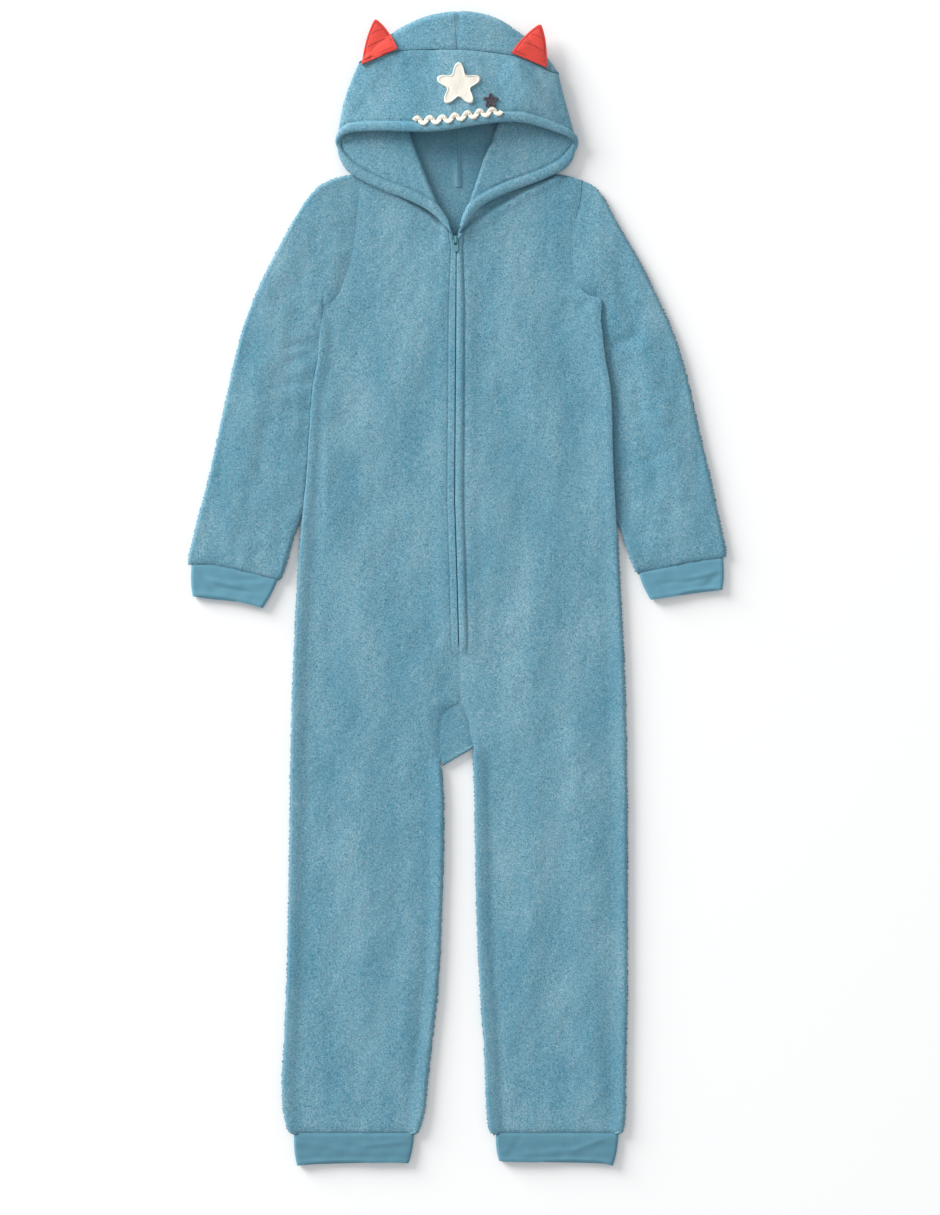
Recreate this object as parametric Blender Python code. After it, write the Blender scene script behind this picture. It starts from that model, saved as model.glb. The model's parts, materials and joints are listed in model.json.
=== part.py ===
"""A child's hooded one-piece pajama of plush fleece, laid flat on its back.

The garment lies with its underside on the XY plane, +Z up and the hood towards +Y.
The origin is the middle of its outline, on the surface it lies on.  Right and left
are the wearer's, so the right sleeve is on the -X side.

Every cloth piece is a wall: an outer and an inner grid of points, closed along its
cut edges.  Tables give places in millimetres: x across from the middle and up from
the ankle hem.  Heights above the surface are in millimetres too.
"""
import math

import bpy
import numpy as np
from mathutils import Vector
from mathutils.bvhtree import BVHTree

MM = 0.001                 # one millimetre in metres

# ---- driving dimensions, mm -------------------------------------------------
LENGTH = 1382.0            # top of the hood to the ankle hem
PLUSH = 3.0                # wall of the plush fleece
KNIT = 2.0                 # wall of the knit cuffs
FELT = 1.6                 # thickness of the felt pieces
SEAM = 0.3                 # space between two pieces that are sewn together
LIE = 0.45                 # space under a piece that lies on another
LAYER = 0.8                # air between the front and the back where they lie flat
SIDE_ROLL = 4.3            # outer radius of the soft roll at the side seams
SEAM_INSET = 8.0           # side seam, in from the silhouette, on top of the roll
SEAM_DIP = 1.0             # how far the plush sinks into a seam
SLEEVE_HEIGHT = 9.0        # thickness of a flattened sleeve at its middle
SLEEVE_END_HEIGHT = 8.2    # and at its hem seam
CUFF_HEIGHT = 7.4          # thickness of a flattened cuff
FOLD_RADIUS = 5.0          # rolled inner edge of the hood's cheeks
CHEEK_TURN = 10.0          # how far the cheek's hidden leaf reaches back
HOOD_ROLL = 8.0            # plan radius of the roll over the top of the hood
TOP_SHARE = 0.86           # height of the hood behind that roll, as a share of the brow seam's
BROW_END_ROOM = 2.2        # extra space between crown and band at the ends of the brow seam
ZIP_TOP, ZIP_END = 1112.0, 624.0
ZIP_FADE = 16.0            # the fronts close over this length below the zip
TAPE_WIDTH, TAPE_THICK = 12.6, 1.0
COIL_WIDTH, COIL_HEIGHT = 4.2, 1.6
ZIP_FLOOR = 3.6            # underside of the tape and the coil
SLIDER_ROOM = 7.4          # half the space between the fronts beside the slider
TEETH_ROOM = 0.7           # half the space between them down the rest of the zip
CROTCH = 554.0             # end of the centre front seam
LEG_END = 39.0             # hem seam of the legs

# ---- outlines ---------------------------------------------------------------
# Body, shoulder to crotch: silhouette points of both sides, and how far up the
# row meets the centre line in the front and in the back.
BODY_COLUMNS = ("right_x", "right_up", "left_x", "left_up", "front_up", "back_up")
BODY = [
    (-114, 1189, 150, 1181, 1115, 1173),
    (-117, 1160, 148, 1156, 1090, 1140),
    (-121, 1122, 141, 1128, 1065, 1108),
    (-126, 1088, 139, 1094, 1045, 1075),
    (-137, 1056, 144, 1060, 1027, 1045),
    (-152, 1036, 158, 1043, 1012, 1020),
    (-165, 1028, 173, 1037, 995, 998),
    (-165, 1000, 175, 1006, 975, 977),
    (-167, 968, 179, 968, 950, 951),
    (-174, 924, 186, 924, 918, 918),
    (-180, 834, 189, 834, 834, 834),
    (-188, 742, 194, 742, 742, 742),
    (-194, 627, 200, 627, 627, 627),
    (-195, 605, 201, 605, 605, 605),
    (-197, CROTCH, 203, CROTCH, CROTCH, CROTCH),
]
# Legs, crotch to hem: the inner columns follow the gusset's seam first.
LEG_COLUMNS = ("up", "right_out", "right_in", "left_in", "left_out")
LEGS = [
    (CROTCH, -197, 5, 5, 203),
    (547, -197, -11, 10, 203),
    (536, -197, -18, 14, 203),
    (514, -198, -21, 18, 204),
    (492, -198, -20, 20, 204),
    (474, -199, -17, 21, 204),
    (438, -199, -15, 22, 205),
    (378, -200, -15, 23, 205),
    (318, -201, -17, 24, 205),
    (258, -202, -19, 26, 205),
    (200, -204, -23, 29, 205),
    (150, -206, -29, 33, 204),
    (105, -209, -34, 35, 203),
    (70, -208, -37, 36, 203),
    (LEG_END, -202, -44, 39, 201),
]
ARMHOLE_ROW = 4            # row of BODY where the sleeve's inner edge starts, above the underarm
BODY_AT = [0, 0.6, 1.3, 2.1, 3, 4, 4.5, 5, 5.5, 6, 6.3, 6.6, 6.9, 7.2, 8, 9, 10, 10.5, 11, 11.5,
           12, 13, 14]     # rows that are modelled, counted along BODY, down to the crotch
ROLL_ROWS = (6.0, 7.2)     # the side rolls rise between these rows, just under the arms
LEG_UPS = [547, 536, 514, 505, 496, 490, 484, 478, 472, 440, 390, 330, 270, 210, 160, 115, 75,
           LEG_END]
GUSSET_GAP = 0.7           # space round the gusset, whose seam bends more than the rows do
GUSSET_ENDS = (3.0, 5.0)   # the leaves start this far under the crotch and end above the fold
GUSSET_SINK = 0.6          # the front leaf lies this much lower than the fronts
GUSSET_LOW = {"right": (-15.8, 479.0), "left": (18.0, 499.0)}   # ends of the gusset's fold
ROLL_ROOM = 3.0            # extra space between front and roll where the roll is half risen
INSEAM_ROLL = {"right": (492, 474), "left": (513, 495)}   # the inner leg rolls rise here

CENTRE_COLUMNS = ("up", "x")
CENTRE = [(ZIP_TOP + 10, -2), (1096, 0), (950, -1), (798, -2), (700, 1), (623, 3), (CROTCH, 5)]

# Top edges of the front pieces, from the shoulder to the zip, under the hood's hem.
NECK_RIGHT = [(-114, 1189), (-89, 1182), (-60, 1168), (-30, 1148), (-6, 1115)]
NECK_LEFT = [(150, 1181), (122, 1186), (88, 1178), (50, 1164), (24, 1146), (4, 1115)]
# Top edge of the back piece, and the hood sewn to it.
NECK_BACK = [(-114, 1189), (-70, 1181), (-28, 1174), (-2, 1173), (30, 1174), (80, 1181),
             (122, 1188), (150, 1181)]
HOOD_NECK_ENDS = {"right": -112, "left": 120}
NECK_FADE = (1.0, 0.72, 0.45, 0.25, 0.1)      # how much of the neck's curve the first rows keep

# Sleeves: outer edge from the shoulder to the hem seam, and the armhole from the
# shoulder to the underarm.
SLEEVE_OUTER = {
    "right": [(-115, 1189), (-128, 1187), (-150, 1181), (-169, 1169), (-189, 1142),
              (-215, 1096), (-237, 1051), (-253, 1010), (-266, 962), (-281, 894),
              (-297, 822), (-311, 770), (-323, 720)],
    "left": [(151, 1180), (164, 1174), (176, 1160), (195, 1125), (218, 1086), (240, 1042),
             (259, 1000), (274, 954), (290, 885), (305, 822), (316, 770), (325, 729)],
}
# Rows of BODY that the sleeve's inner edge follows, round the underarm and down, and
# its way from there to the hem seam.
BODY_BESIDE_SLEEVE = (ARMHOLE_ROW, 4.5, 5, 5.5, 6, 6.6, 7.2, 8, 9, 9.5, 10, 10.5)
SLEEVE_LEAVES = {
    "right": [(-190, 766), (-195.5, 751), (-202, 727), (-210, 702)],
    "left": [(193.8, 770), (197.5, 760), (203.3, 742), (209, 727), (215, 709.5)],
}
WRIST = {
    "right": [(-323, 720), (-295, 720), (-258, 713), (-210, 702)],
    "left": [(325, 729), (280, 723), (252, 717), (215, 709.5)],
}
# Cuffs: the seam edge from the outer to the inner side, and the free edge.
WRIST_ENDS = {
    "right": [(-318, 682), (-295, 679), (-258, 675), (-232, 668)],
    "left": [(321, 690), (280, 685), (233, 678)],
}
ANKLE = {
    "right": [(-199, 38.5), (-46, 38.5)],
    "left": [(199, 38.5), (43, 38.5)],
}
ANKLE_ENDS = {
    "right": [(-191, 0), (-161, 2), (-81, 4), (-57, 3)],
    "left": [(188, 0), (165, 3), (64, 5), (51, 6)],
}
CUFF_INSET = 0.02          # the cuff is this share narrower at each side of its seam
CUFF_ROWS = 4
ARMHOLE_GAP = 0.6          # space between the sleeve and the body at their seam
SIDE_GAP = 1.8             # space between them below the underarm
CUFF_SWELL = 1.6           # the cuff bellies out between its seam and its edge

# Hood band: one strip round the face opening, from the zip up the right cheek,
# over the brow and down the left cheek.  Each row is a line across the strip, from
# the hem to its other edge, with the heights of the strip's middle surface.
BAND_COLUMNS = ("hem_x", "hem_up", "end_x", "end_up", "hem_z", "end_z", "curl", "bow")
BAND = [
    (-7, 1122, -10, 1131, 11.4, 11.6, 0.0, 0),
    (-30, 1141, -24, 1158, 11.0, 12.1, 0.5, 0),
    (-60, 1157, -39, 1192, 10.6, 12.1, 1.0, 0),
    (-89, 1168, -52, 1226, 10.2, 12.1, 1.0, 0),
    (-112, 1179, -60, 1252, 9.8, 11.6, 1.0, 0),
    (-131, 1192, -74, 1274, 9.2, 9.4, 0.5, 0),
    (-140, 1208, -90, 1294, 7.6, 7.8, 0.0, -2),
    (-142, 1219, -106, 1308, 7.4, 8.0, 0.0, -4),
    (-141, 1226, -115, 1316, 10.6, 12.0, 0.0, -5),
    (-136, 1232, -113, 1319, 14.6, 15.0, 0.0, -4),
    (-124, 1236, -98, 1324, 17.5, 17.0, 0.0, -2),
    (-89, 1237, -71, 1332, 22.5, 18.5, 0.0, 0),
    (-46, 1235, -36, 1334, 27.5, 20.0, 0.0, 0),
    (-16, 1236, -12, 1334, 30.0, 21.0, 0.0, 0),
    (15, 1241, 18, 1333, 30.5, 21.0, 0.0, 0),
    (48, 1246, 48, 1330, 28.5, 20.0, 0.0, 0),
    (76, 1247, 74, 1325, 25.0, 19.0, 0.0, 0),
    (104, 1241, 97, 1316, 20.5, 17.8, 0.0, 0),
    (128, 1233, 111, 1309, 17.2, 16.0, 0.0, 0),
    (139, 1228, 118, 1307, 14.4, 14.4, 0.0, 1),
    (144, 1222, 121, 1304, 10.6, 11.4, 0.0, 1),
    (142, 1214, 112, 1297, 7.4, 8.0, 0.0, 1),
    (138, 1203, 94, 1285, 7.6, 7.8, 0.0, 0),
    (127, 1192, 76, 1270, 9.2, 9.4, 0.5, 0),
    (104, 1181, 57, 1252, 9.8, 11.6, 1.0, 0),
    (80, 1172, 44, 1228, 10.2, 12.1, 1.0, 0),
    (57, 1163, 31, 1200, 10.6, 12.1, 1.0, 0),
    (27, 1146, 21, 1160, 11.0, 12.1, 0.5, 0),
    (6, 1122, 8, 1131, 11.4, 11.6, 0.0, 0),
]
BAND_AT = [0, 1, 2, 3, 4, 5, 5.5, 6, 6.5, 7, 7.5, 8, 8.5, 9, 9.5, 10, 11, 12, 13, 14, 15, 16, 17,
           18, 18.5, 19, 19.5, 20, 20.5, 21, 21.5, 22, 22.5, 23, 24, 25, 26, 27, 28]
BROW_ROWS = (8, 20)        # first and last row of BAND whose far edge is the brow seam
# Silhouette of the hood above the brow seam, right end to left end.
HOOD_TOP = [(-117, 1318), (-108, 1329), (-92, 1344), (-70, 1360), (-53, 1369), (-32, 1377),
            (-3, 1382), (22, 1381), (48, 1374), (69, 1361), (94, 1342), (112, 1322), (123, 1306)]
HOOD_BULGE = {"right": 24.0, "left": 14.0}    # sideways swell of the hood under the cheeks
# The hood's centre seam: x at the neck, over the top and at the brow seam.
HOOD_SEAM_X = {"neck": -2.0, "top": -3.0, "brow": 1.0}

# How far the zip lifts the fronts, by distance from their zip edge.
ZIP_RISE_COLUMNS = ("distance", "rise")
ZIP_RISE = [(0.0, 1.9), (3.4, 1.5), (17.0, 1.3), (27.0, 0.0)]

# Soft folds pressed up out of the front: middle, half length, half width, height,
# and the turn of the fold from the +Y direction, in degrees.
FOLD_COLUMNS = ("x", "up", "half_length", "half_width", "height", "turn")
FOLDS = [
    (-158, 860, 110, 16, 2.0, 4),
    (-60, 960, 130, 30, 1.6, -22),
    (95, 940, 120, 26, 1.8, 14),
    (40, 800, 120, 24, 1.2, 4),
    (95, 640, 140, 22, 1.9, -8),
    (-110, 650, 120, 30, 1.4, 10),
    (-45, 600, 90, 20, 1.2, 28),
    (150, 420, 160, 20, 1.8, 3),
    (90, 330, 150, 18, 1.5, -3),
    (-110, 330, 180, 26, 1.6, 2),
    (-60, 180, 90, 18, 1.3, -8),
    (160, 150, 90, 16, 1.4, 6),
]
FOLD_LIMIT = 2.4           # folds that cross rise no more than this
FOLD_FLOOR = 0.5           # lift of the whole front away from its edges
FOLD_EDGE = (2.0, 26.0)    # folds grow between these distances from a piece's edge
ROLL_REACH = 12.0          # beside a roll the folds swell the wall instead of lifting it
DIP_REACH = 3.5            # width of the dip along a seam
HEM_REACH = 6.0            # length over which the legs thin towards their hem seam

# Felt pieces on the hood.
EAR_BASE = {"right": ((-113, 1317), (-70, 1335)), "left": ((66, 1330), (108, 1313))}
EAR_TIP = {"right": (-97, 1372), "left": (101, 1366)}
EAR_LOWEST = 15.5          # the ears lie no lower than this beyond the hood's edge
PATCH_REACH = 2.5          # a felt piece clears the plush this far round each of its points
STAR_LARGE = {"x": 3.0, "up": 1291.0, "radius": 27.0}
STAR_SMALL = {"x": 41.0, "up": 1272.0, "radius": 9.5}
BRAID = {"start": -50.0, "end": 54.0, "waves": 7, "rise": 3.4, "width": 5.6, "inset": 13.0,
         "thick": 1.4}

# Zip hardware.
SLIDER = {"x": -1.0, "low": 1104.0, "high": 1114.0, "half_width": 4.2, "floor": 5.7, "top": 9.2}
BRIDGE = {"half_width": 1.0, "low": 1104.6, "high": 1112.6, "wall": 1.2, "top": 12.4}
TAB = {"half_width": 3.3, "end": 1094.5, "thick": 1.2, "pivot_up": 1107.4, "pivot_z": 10.3,
       "window": 1.8, "window_low": 1102.6, "bar": 1.2}

COLOURS = {
    "plush": ((0.155, 0.385, 0.521), 0.95, 0.0),
    "knit": ((0.133, 0.358, 0.497), 0.9, 0.0),
    "red_felt": ((0.776, 0.084, 0.068), 0.92, 0.0),
    "cream_felt": ((0.807, 0.738, 0.665), 0.9, 0.0),
    "charcoal_felt": ((0.069, 0.056, 0.072), 0.9, 0.0),
    "zip_tape": ((0.11, 0.3, 0.42), 0.85, 0.0),
    "zip_plastic": ((0.14, 0.36, 0.45), 0.45, 0.0),
}


# ---- small tools ------------------------------------------------------------
def finish(name):
    """The material of a colour, made once."""
    material = bpy.data.materials.get(name)
    if material:
        return material
    colour, rough, metal = COLOURS[name]
    material = bpy.data.materials.new(name)
    material.use_nodes = True
    shader = material.node_tree.nodes["Principled BSDF"]
    shader.inputs["Base Color"].default_value = (*colour, 1.0)
    shader.inputs["Roughness"].default_value = rough
    shader.inputs["Metallic"].default_value = metal
    return material


def world(x, up, z):
    """Metres in the part's frame, from millimetres across, up and above the surface."""
    return np.stack(np.broadcast_arrays(
        np.asarray(x, float) * MM,
        (np.asarray(up, float) - LENGTH / 2) * MM,
        np.asarray(z, float) * MM), axis=-1)


def enclosed(points, faces):
    """The volume that closed faces hold: negative if they point inwards."""
    total = 0.0
    for face in faces:
        a = points[face[0]]
        for b, c in zip(face[1:-1], face[2:]):
            total += float(np.dot(a, np.cross(points[b], points[c]))) / 6
    return total


def add_object(name, points, faces, colour, origin=(0.0, 0.0, 0.0)):
    """An object of one closed mesh with its faces outwards, and its own material."""
    mesh = bpy.data.meshes.new(name)
    local = np.asarray(points) - np.asarray(origin)
    if enclosed(local, faces) < 0:
        faces = [face[::-1] for face in faces]
    mesh.from_pydata(local.tolist(), [], [list(map(int, face)) for face in faces])
    mesh.update()
    mesh.shade_smooth()
    mesh.set_sharp_from_angle(angle=math.radians(50))
    piece = bpy.data.objects.new(name, mesh)
    piece.location = origin
    bpy.context.scene.collection.objects.link(piece)
    own = finish(colour).copy()
    own.name = name
    mesh.materials.append(own)
    return piece


def smooth_path(points, count):
    """Points evenly spaced along a smooth curve through the given points.

    Each span is a centripetal Catmull-Rom curve, so the path passes through every
    point with no overshoot.
    """
    pts = np.asarray(points, float)
    first = 2 * pts[0] - pts[1]
    last = 2 * pts[-1] - pts[-2]
    pts = np.vstack([first, pts, last])
    dense = []
    for p0, p1, p2, p3 in zip(pts[:-3], pts[1:-2], pts[2:-1], pts[3:]):
        t = np.linspace(0, 1, 12, endpoint=False)[:, None]
        k01 = max(np.linalg.norm(p1 - p0), 1e-6) ** 0.5
        k12 = max(np.linalg.norm(p2 - p1), 1e-6) ** 0.5
        k23 = max(np.linalg.norm(p3 - p2), 1e-6) ** 0.5
        m1 = p2 - p1 + k12 * ((p1 - p0) / k01 - (p2 - p0) / (k01 + k12))
        m2 = p2 - p1 + k12 * ((p3 - p2) / k23 - (p3 - p1) / (k12 + k23))
        a = 2 * (p1 - p2) + m1 + m2
        b = -3 * (p1 - p2) - 2 * m1 - m2
        dense.append(a * t**3 + b * t**2 + m1 * t + p1)
    dense = np.vstack(dense + [pts[-2][None]])
    steps = np.r_[0, np.cumsum(np.linalg.norm(np.diff(dense, axis=0), axis=1))]
    where = np.linspace(0, steps[-1], count) if np.isscalar(count) else np.asarray(count) * steps[-1]
    return np.stack([np.interp(where, steps, dense[:, i]) for i in range(dense.shape[1])], axis=1)


def between_rows(table, at):
    """Rows of a table at whole and part row numbers, on smooth curves through the rows."""
    table = np.asarray(table, float)
    padded = np.vstack([2 * table[0] - table[1], table, 2 * table[-1] - table[-2]])
    at = np.asarray(at, float)
    low = np.minimum(at.astype(int), len(table) - 2)
    t = (at - low)[:, None]
    p0, p1, p2, p3 = (padded[low + k] for k in range(4))
    return 0.5 * (2 * p1 + (p2 - p0) * t + (2 * p0 - 5 * p1 + 4 * p2 - p3) * t**2
                  + (3 * p1 - p0 - 3 * p2 + p3) * t**3)


def grid_faces(rows, columns, start=0, closed=False):
    """Quads of a grid of points, row by row; closed joins the last column to the first."""
    faces = []
    for r in range(rows - 1):
        for c in range(columns if closed else columns - 1):
            d = (c + 1) % columns
            a, b = start + r * columns + c, start + r * columns + d
            faces.append((a, b, b + columns, a + columns))
    return faces


def weld(outer, inner, faces):
    """Joins points whose outer and inner places both coincide, and drops flat faces."""
    keys, keep, remap = {}, [], []
    for i, pair in enumerate(np.round(np.hstack([outer, inner]) / (0.02 * MM)).astype(int)):
        key = tuple(pair)
        if key not in keys:
            keys[key] = len(keep)
            keep.append(i)
        remap.append(keys[key])
    merged = []
    for face in faces:
        corners = [remap[i] for i in face]
        corners = [c for i, c in enumerate(corners) if c != corners[i - 1]]
        if len(corners) > 2:
            merged.append(tuple(corners))
    return outer[keep], inner[keep], merged


def wall(name, outer, inner, faces, colour):
    """A cloth wall: outer and inner points, with a rim along every free edge."""
    outer, inner, faces = weld(outer.reshape(-1, 3), inner.reshape(-1, 3), faces)
    count = len(outer)
    edges = {(f[i - 1], f[i]) for f in faces for i in range(len(f))}
    rims = [(b, a, a + count, b + count) for a, b in edges if (b, a) not in edges]
    backs = [tuple(i + count for i in reversed(f)) for f in faces]
    return add_object(name, np.vstack([outer, inner]), faces + backs + sorted(rims), colour)


def offset_wall(name, middle, thickness, colour):
    """A cloth wall on both sides of a grid of middle points, along its normals."""
    rows, columns = middle.shape[:2]
    along = np.gradient(middle, axis=0)
    across = np.gradient(middle, axis=1)
    normal = np.cross(across, along)
    normal /= np.linalg.norm(normal, axis=2, keepdims=True)
    half = normal * thickness * MM / 2
    return wall(name, middle + half, middle - half, grid_faces(rows, columns), colour)


def blend(a, b, amount):
    """A mix of two values."""
    return a + (b - a) * amount


def ease(low, high, value):
    """A smooth step from 0 at low to 1 at high."""
    t = np.clip((np.asarray(value, float) - low) / (high - low), 0, 1)
    return t * t * (3 - 2 * t)


def columns(names, rows):
    """The columns of a table by name."""
    return dict(zip(names, np.array(rows, float).T))


def centre_x(up):
    """The centre front and centre back line."""
    line = columns(CENTRE_COLUMNS, CENTRE[::-1])
    return np.interp(up, line["up"], line["x"])


# ---- body -------------------------------------------------------------------
def half_rows(side, face):
    """The rows of half a front or back, from the shoulder to the hem.

    Each is the place of its outer and its inner end, and how far the side's roll and
    the inner leg's roll have risen.  The body's rows lean with the shoulder; the legs'
    rows are level.
    """
    body = columns(BODY_COLUMNS, BODY)
    legs = columns(LEG_COLUMNS, LEGS)
    centre_up = body[face + "_up"]
    rows = np.stack([body[side + "_x"], body[side + "_up"], centre_x(centre_up), centre_up], axis=1)
    leg_rows = np.stack([legs[side + "_out"], legs["up"], legs[side + "_in"], legs["up"]], axis=1)
    body_part = between_rows(rows, BODY_AT)
    leg_part = np.array([[np.interp(-u, -leg_rows[:, 1], leg_rows[:, i]) for i in range(4)]
                         for u in LEG_UPS])
    side_curl = np.r_[ease(*ROLL_ROWS, BODY_AT), np.ones(len(LEG_UPS))]
    seam_curl = np.r_[np.zeros(len(BODY_AT)), ease(*INSEAM_ROLL[side], LEG_UPS)]
    return np.column_stack([np.vstack([body_part, leg_part]), side_curl, seam_curl])


def on_row(number, row, d, neck):
    """Places at distances along a row; the first rows keep some of the neck's curve."""
    start, end = row[0:2], row[2:4]
    u = d / np.linalg.norm(end - start)
    place = np.outer(1 - u, start) + np.outer(u, end)
    if number < len(NECK_FADE):
        inside = np.clip(u, 0, 1)
        place = place + (smooth_path(neck, inside) - between_ends(neck, inside)) * NECK_FADE[number]
    return place


def edge_profile(curl, inside):
    """Distance from the silhouette and height of a rolled edge, from the seam inwards.

    With no curl the strip lies flat; with full curl it climbs round the roll and ends
    on top at the seam.  inside gives the wall's inner surface.
    """
    radius = SIDE_ROLL - PLUSH if inside else SIDE_ROLL
    top = 2 * SIDE_ROLL - (PLUSH if inside else SEAM_DIP)
    angles = np.radians([70, 120, 175, 225, 270])
    d = SIDE_ROLL + radius * np.cos(angles)
    z = SIDE_ROLL + radius * np.sin(angles)
    d[0], z[0] = SEAM_INSET, top - SEAM_DIP
    flat_d = np.linspace(0, 2 * SEAM_INSET, len(d))
    flat_z = np.full(len(d), PLUSH if inside else 0.0)
    return np.stack([blend(flat_d, d, curl), blend(flat_z, z, curl)], axis=1)


def back_piece():
    """The back of the body and both legs, with its edges rolled up to the seams."""
    sheets, faces, start = {False: [], True: []}, [], 0
    for side, neck in (("right", NECK_BACK[:4]), ("left", NECK_BACK[3:][::-1])):
        rows = half_rows(side, "back")
        for inside, sheet in sheets.items():
            grid = []
            for number, row in enumerate(rows):
                width = np.linalg.norm(row[2:4] - row[0:2])
                near = edge_profile(row[4], inside)
                far = edge_profile(row[5], inside)[::-1]
                flat = blend(near[-1, 0], width - far[0, 0], np.array([0.33, 0.67]))
                d = np.r_[near[:, 0], flat, width - far[:, 0]]
                z = np.r_[near[:, 1], near[-1:, 1], near[-1:, 1], far[:, 1]]
                place = on_row(number, row, d, neck)
                grid.append(world(place[:, 0], place[:, 1], z))
            sheet.append(np.array(grid))
        count_r, count_c = sheets[False][-1].shape[:2]
        sheet_faces = grid_faces(count_r, count_c, start)
        faces += sheet_faces if side == "left" else [f[::-1] for f in sheet_faces]
        start += count_r * count_c
    outer, inner = (np.vstack([g.reshape(-1, 3) for g in sheets[k]]) for k in (False, True))
    return wall("back", outer, inner, faces, "plush")


def fold_height(x, up):
    """How far the front is lifted by its soft folds at a place."""
    lift = np.zeros_like(np.asarray(x, float))
    for row in FOLDS:
        fold = dict(zip(FOLD_COLUMNS, row))
        turn = math.radians(fold["turn"])
        dx, dy = x - fold["x"], up - fold["up"]
        along = (dy * math.cos(turn) - dx * math.sin(turn)) / fold["half_length"]
        across = (dx * math.cos(turn) + dy * math.sin(turn)) / fold["half_width"]
        lift = lift + fold["height"] * np.exp(-across**2) * np.exp(-along**4)
    return np.clip(lift, 0, FOLD_LIMIT)


def zip_half_gap(up):
    """Half the space between the two fronts: open at the slider, nearly shut below."""
    at_zip = blend(TEETH_ROOM, SLIDER_ROOM, float(ease(ZIP_TOP - 26, ZIP_TOP - 14, up)))
    return blend(SEAM / 2, at_zip, float(on_zip(up)))


def on_zip(up):
    """1 beside the zip and 0 below it."""
    return ease(ZIP_END - ZIP_FADE, ZIP_END, up)


def roll_room(curl):
    """Distance from the silhouette to the seam on a roll that has risen so far."""
    return SEAM_INSET * curl + ROLL_ROOM * math.sin(math.pi * curl)


def front_piece(side):
    """Half of the front, from its side seam to the zip, the gusset and the inner leg."""
    neck = NECK_RIGHT if side == "right" else NECK_LEFT
    zip_rise = columns(ZIP_RISE_COLUMNS, ZIP_RISE)
    top, bottom = [], []
    for number, row in enumerate(half_rows(side, "front")):
        side_up, centre_up, side_curl, seam_curl = row[1], row[3], row[4], row[5]
        width = np.linalg.norm(row[2:4] - row[0:2])
        near, zipped = roll_room(side_curl) + SEAM * side_curl, float(on_zip(centre_up))
        on_leg = centre_up < CROTCH + 1
        far = roll_room(seam_curl) + SEAM if on_leg else zip_half_gap(centre_up)
        from_zip = width - far - zip_rise["distance"][::-1]
        wide = blend(near + SEAM_INSET + 1.0, from_zip[0], np.array([0.0, 0.25, 0.5, 0.75]))
        d = np.r_[near, near + ROLL_ROOM, wide, from_zip]
        lift = np.r_[np.zeros(6), zip_rise["rise"][::-1] * zipped]
        place = on_row(number, row, d, neck)
        from_side, from_centre = d - near, width - far - d
        inside = ease(*FOLD_EDGE, np.minimum(from_side, from_centre))
        at_roll = side_curl * ease(ROLL_REACH, 0, from_side) \
            + seam_curl * ease(ROLL_REACH, 0, from_centre)
        rise = (fold_height(place[:, 0], place[:, 1]) + FOLD_FLOOR) * inside
        low = PLUSH + LAYER + lift + rise * (1 - at_roll / 2)
        dip = SEAM_DIP * (ease(DIP_REACH, 0, from_side)
                          + ease(DIP_REACH, 0, from_centre) * (1 - zipped / 2))
        hem = max(0.0, 1 - (side_up - LEG_END) / HEM_REACH) * SEAM_DIP
        top.append(world(place[:, 0], place[:, 1], low + PLUSH - np.maximum(dip, hem)))
        bottom.append(world(place[:, 0], place[:, 1], low))
    top, bottom = np.array(top), np.array(bottom)
    return wall("front_" + side, top, bottom, grid_faces(*top.shape[:2]), "plush")


def gusset_piece():
    """The crotch insert: a leaf in the front, a fold at the bottom and a leaf in the back."""
    legs = columns(LEG_COLUMNS, LEGS[::-1])
    across = np.linspace(0, 1, 6)
    x, up = [], []
    for side, column, gap in (("right", "right_in", GUSSET_GAP), ("left", "left_in", -GUSSET_GAP)):
        ups = np.linspace(CROTCH - GUSSET_ENDS[0], GUSSET_LOW[side][1] + GUSSET_ENDS[1], 7)
        x.append(np.interp(ups, legs["up"], legs[column]) + gap)
        up.append(ups)
    x = blend(x[0][:, None], x[1][:, None], across)
    up = blend(up[0][:, None], up[1][:, None], across)
    front = [world(x, up, z) for z in (2 * PLUSH + LAYER - GUSSET_SINK, PLUSH + LAYER)]
    back = [world(x, up, z)[::-1] for z in (0.0, PLUSH)]
    middle = (2 * PLUSH + LAYER) / 2
    fold_x = blend(GUSSET_LOW["right"][0], GUSSET_LOW["left"][0], across)
    fold_up = blend(GUSSET_LOW["right"][1], GUSSET_LOW["left"][1], across)
    angle = np.radians([60, 0, -60])[:, None]
    fold = [world(fold_x, fold_up + middle - r * np.cos(angle), middle + r * np.sin(angle))
            for r in (middle, middle - PLUSH)]
    outer, inner = (np.concatenate(layers) for layers in zip(front, fold, back))
    return wall("gusset", outer, inner, grid_faces(*outer.shape[:2]), "plush")


# ---- tubes that lie flat ----------------------------------------------------
def ring_profile(width, height, thickness, spread, arcs=4):
    """Distance across and height of a flattened tube's outer and inner surface.

    Two flat layers are joined by half circles; the inner surface keeps their centres.
    spread gives the places of the flat layers' points, as shares of the width.
    """
    radius = height / 2
    flats = len(spread) + 2
    turn = np.linspace(0, math.pi, arcs + 2)[1:-1]
    result = []
    for r in (radius, max(radius - thickness, 0.15)):
        across = np.r_[radius, np.asarray(spread) * width, width - radius]
        near = np.stack([radius - r * np.sin(turn), radius - r * np.cos(turn)], axis=1)
        far = np.stack([width - radius + r * np.sin(turn), radius + r * np.cos(turn)], axis=1)
        top = np.stack([across, np.full(flats, radius + r)], axis=1)
        low = np.stack([across[::-1], np.full(flats, radius - r)], axis=1)
        result.append(np.vstack([top, far, low, near]))
    return result


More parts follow.
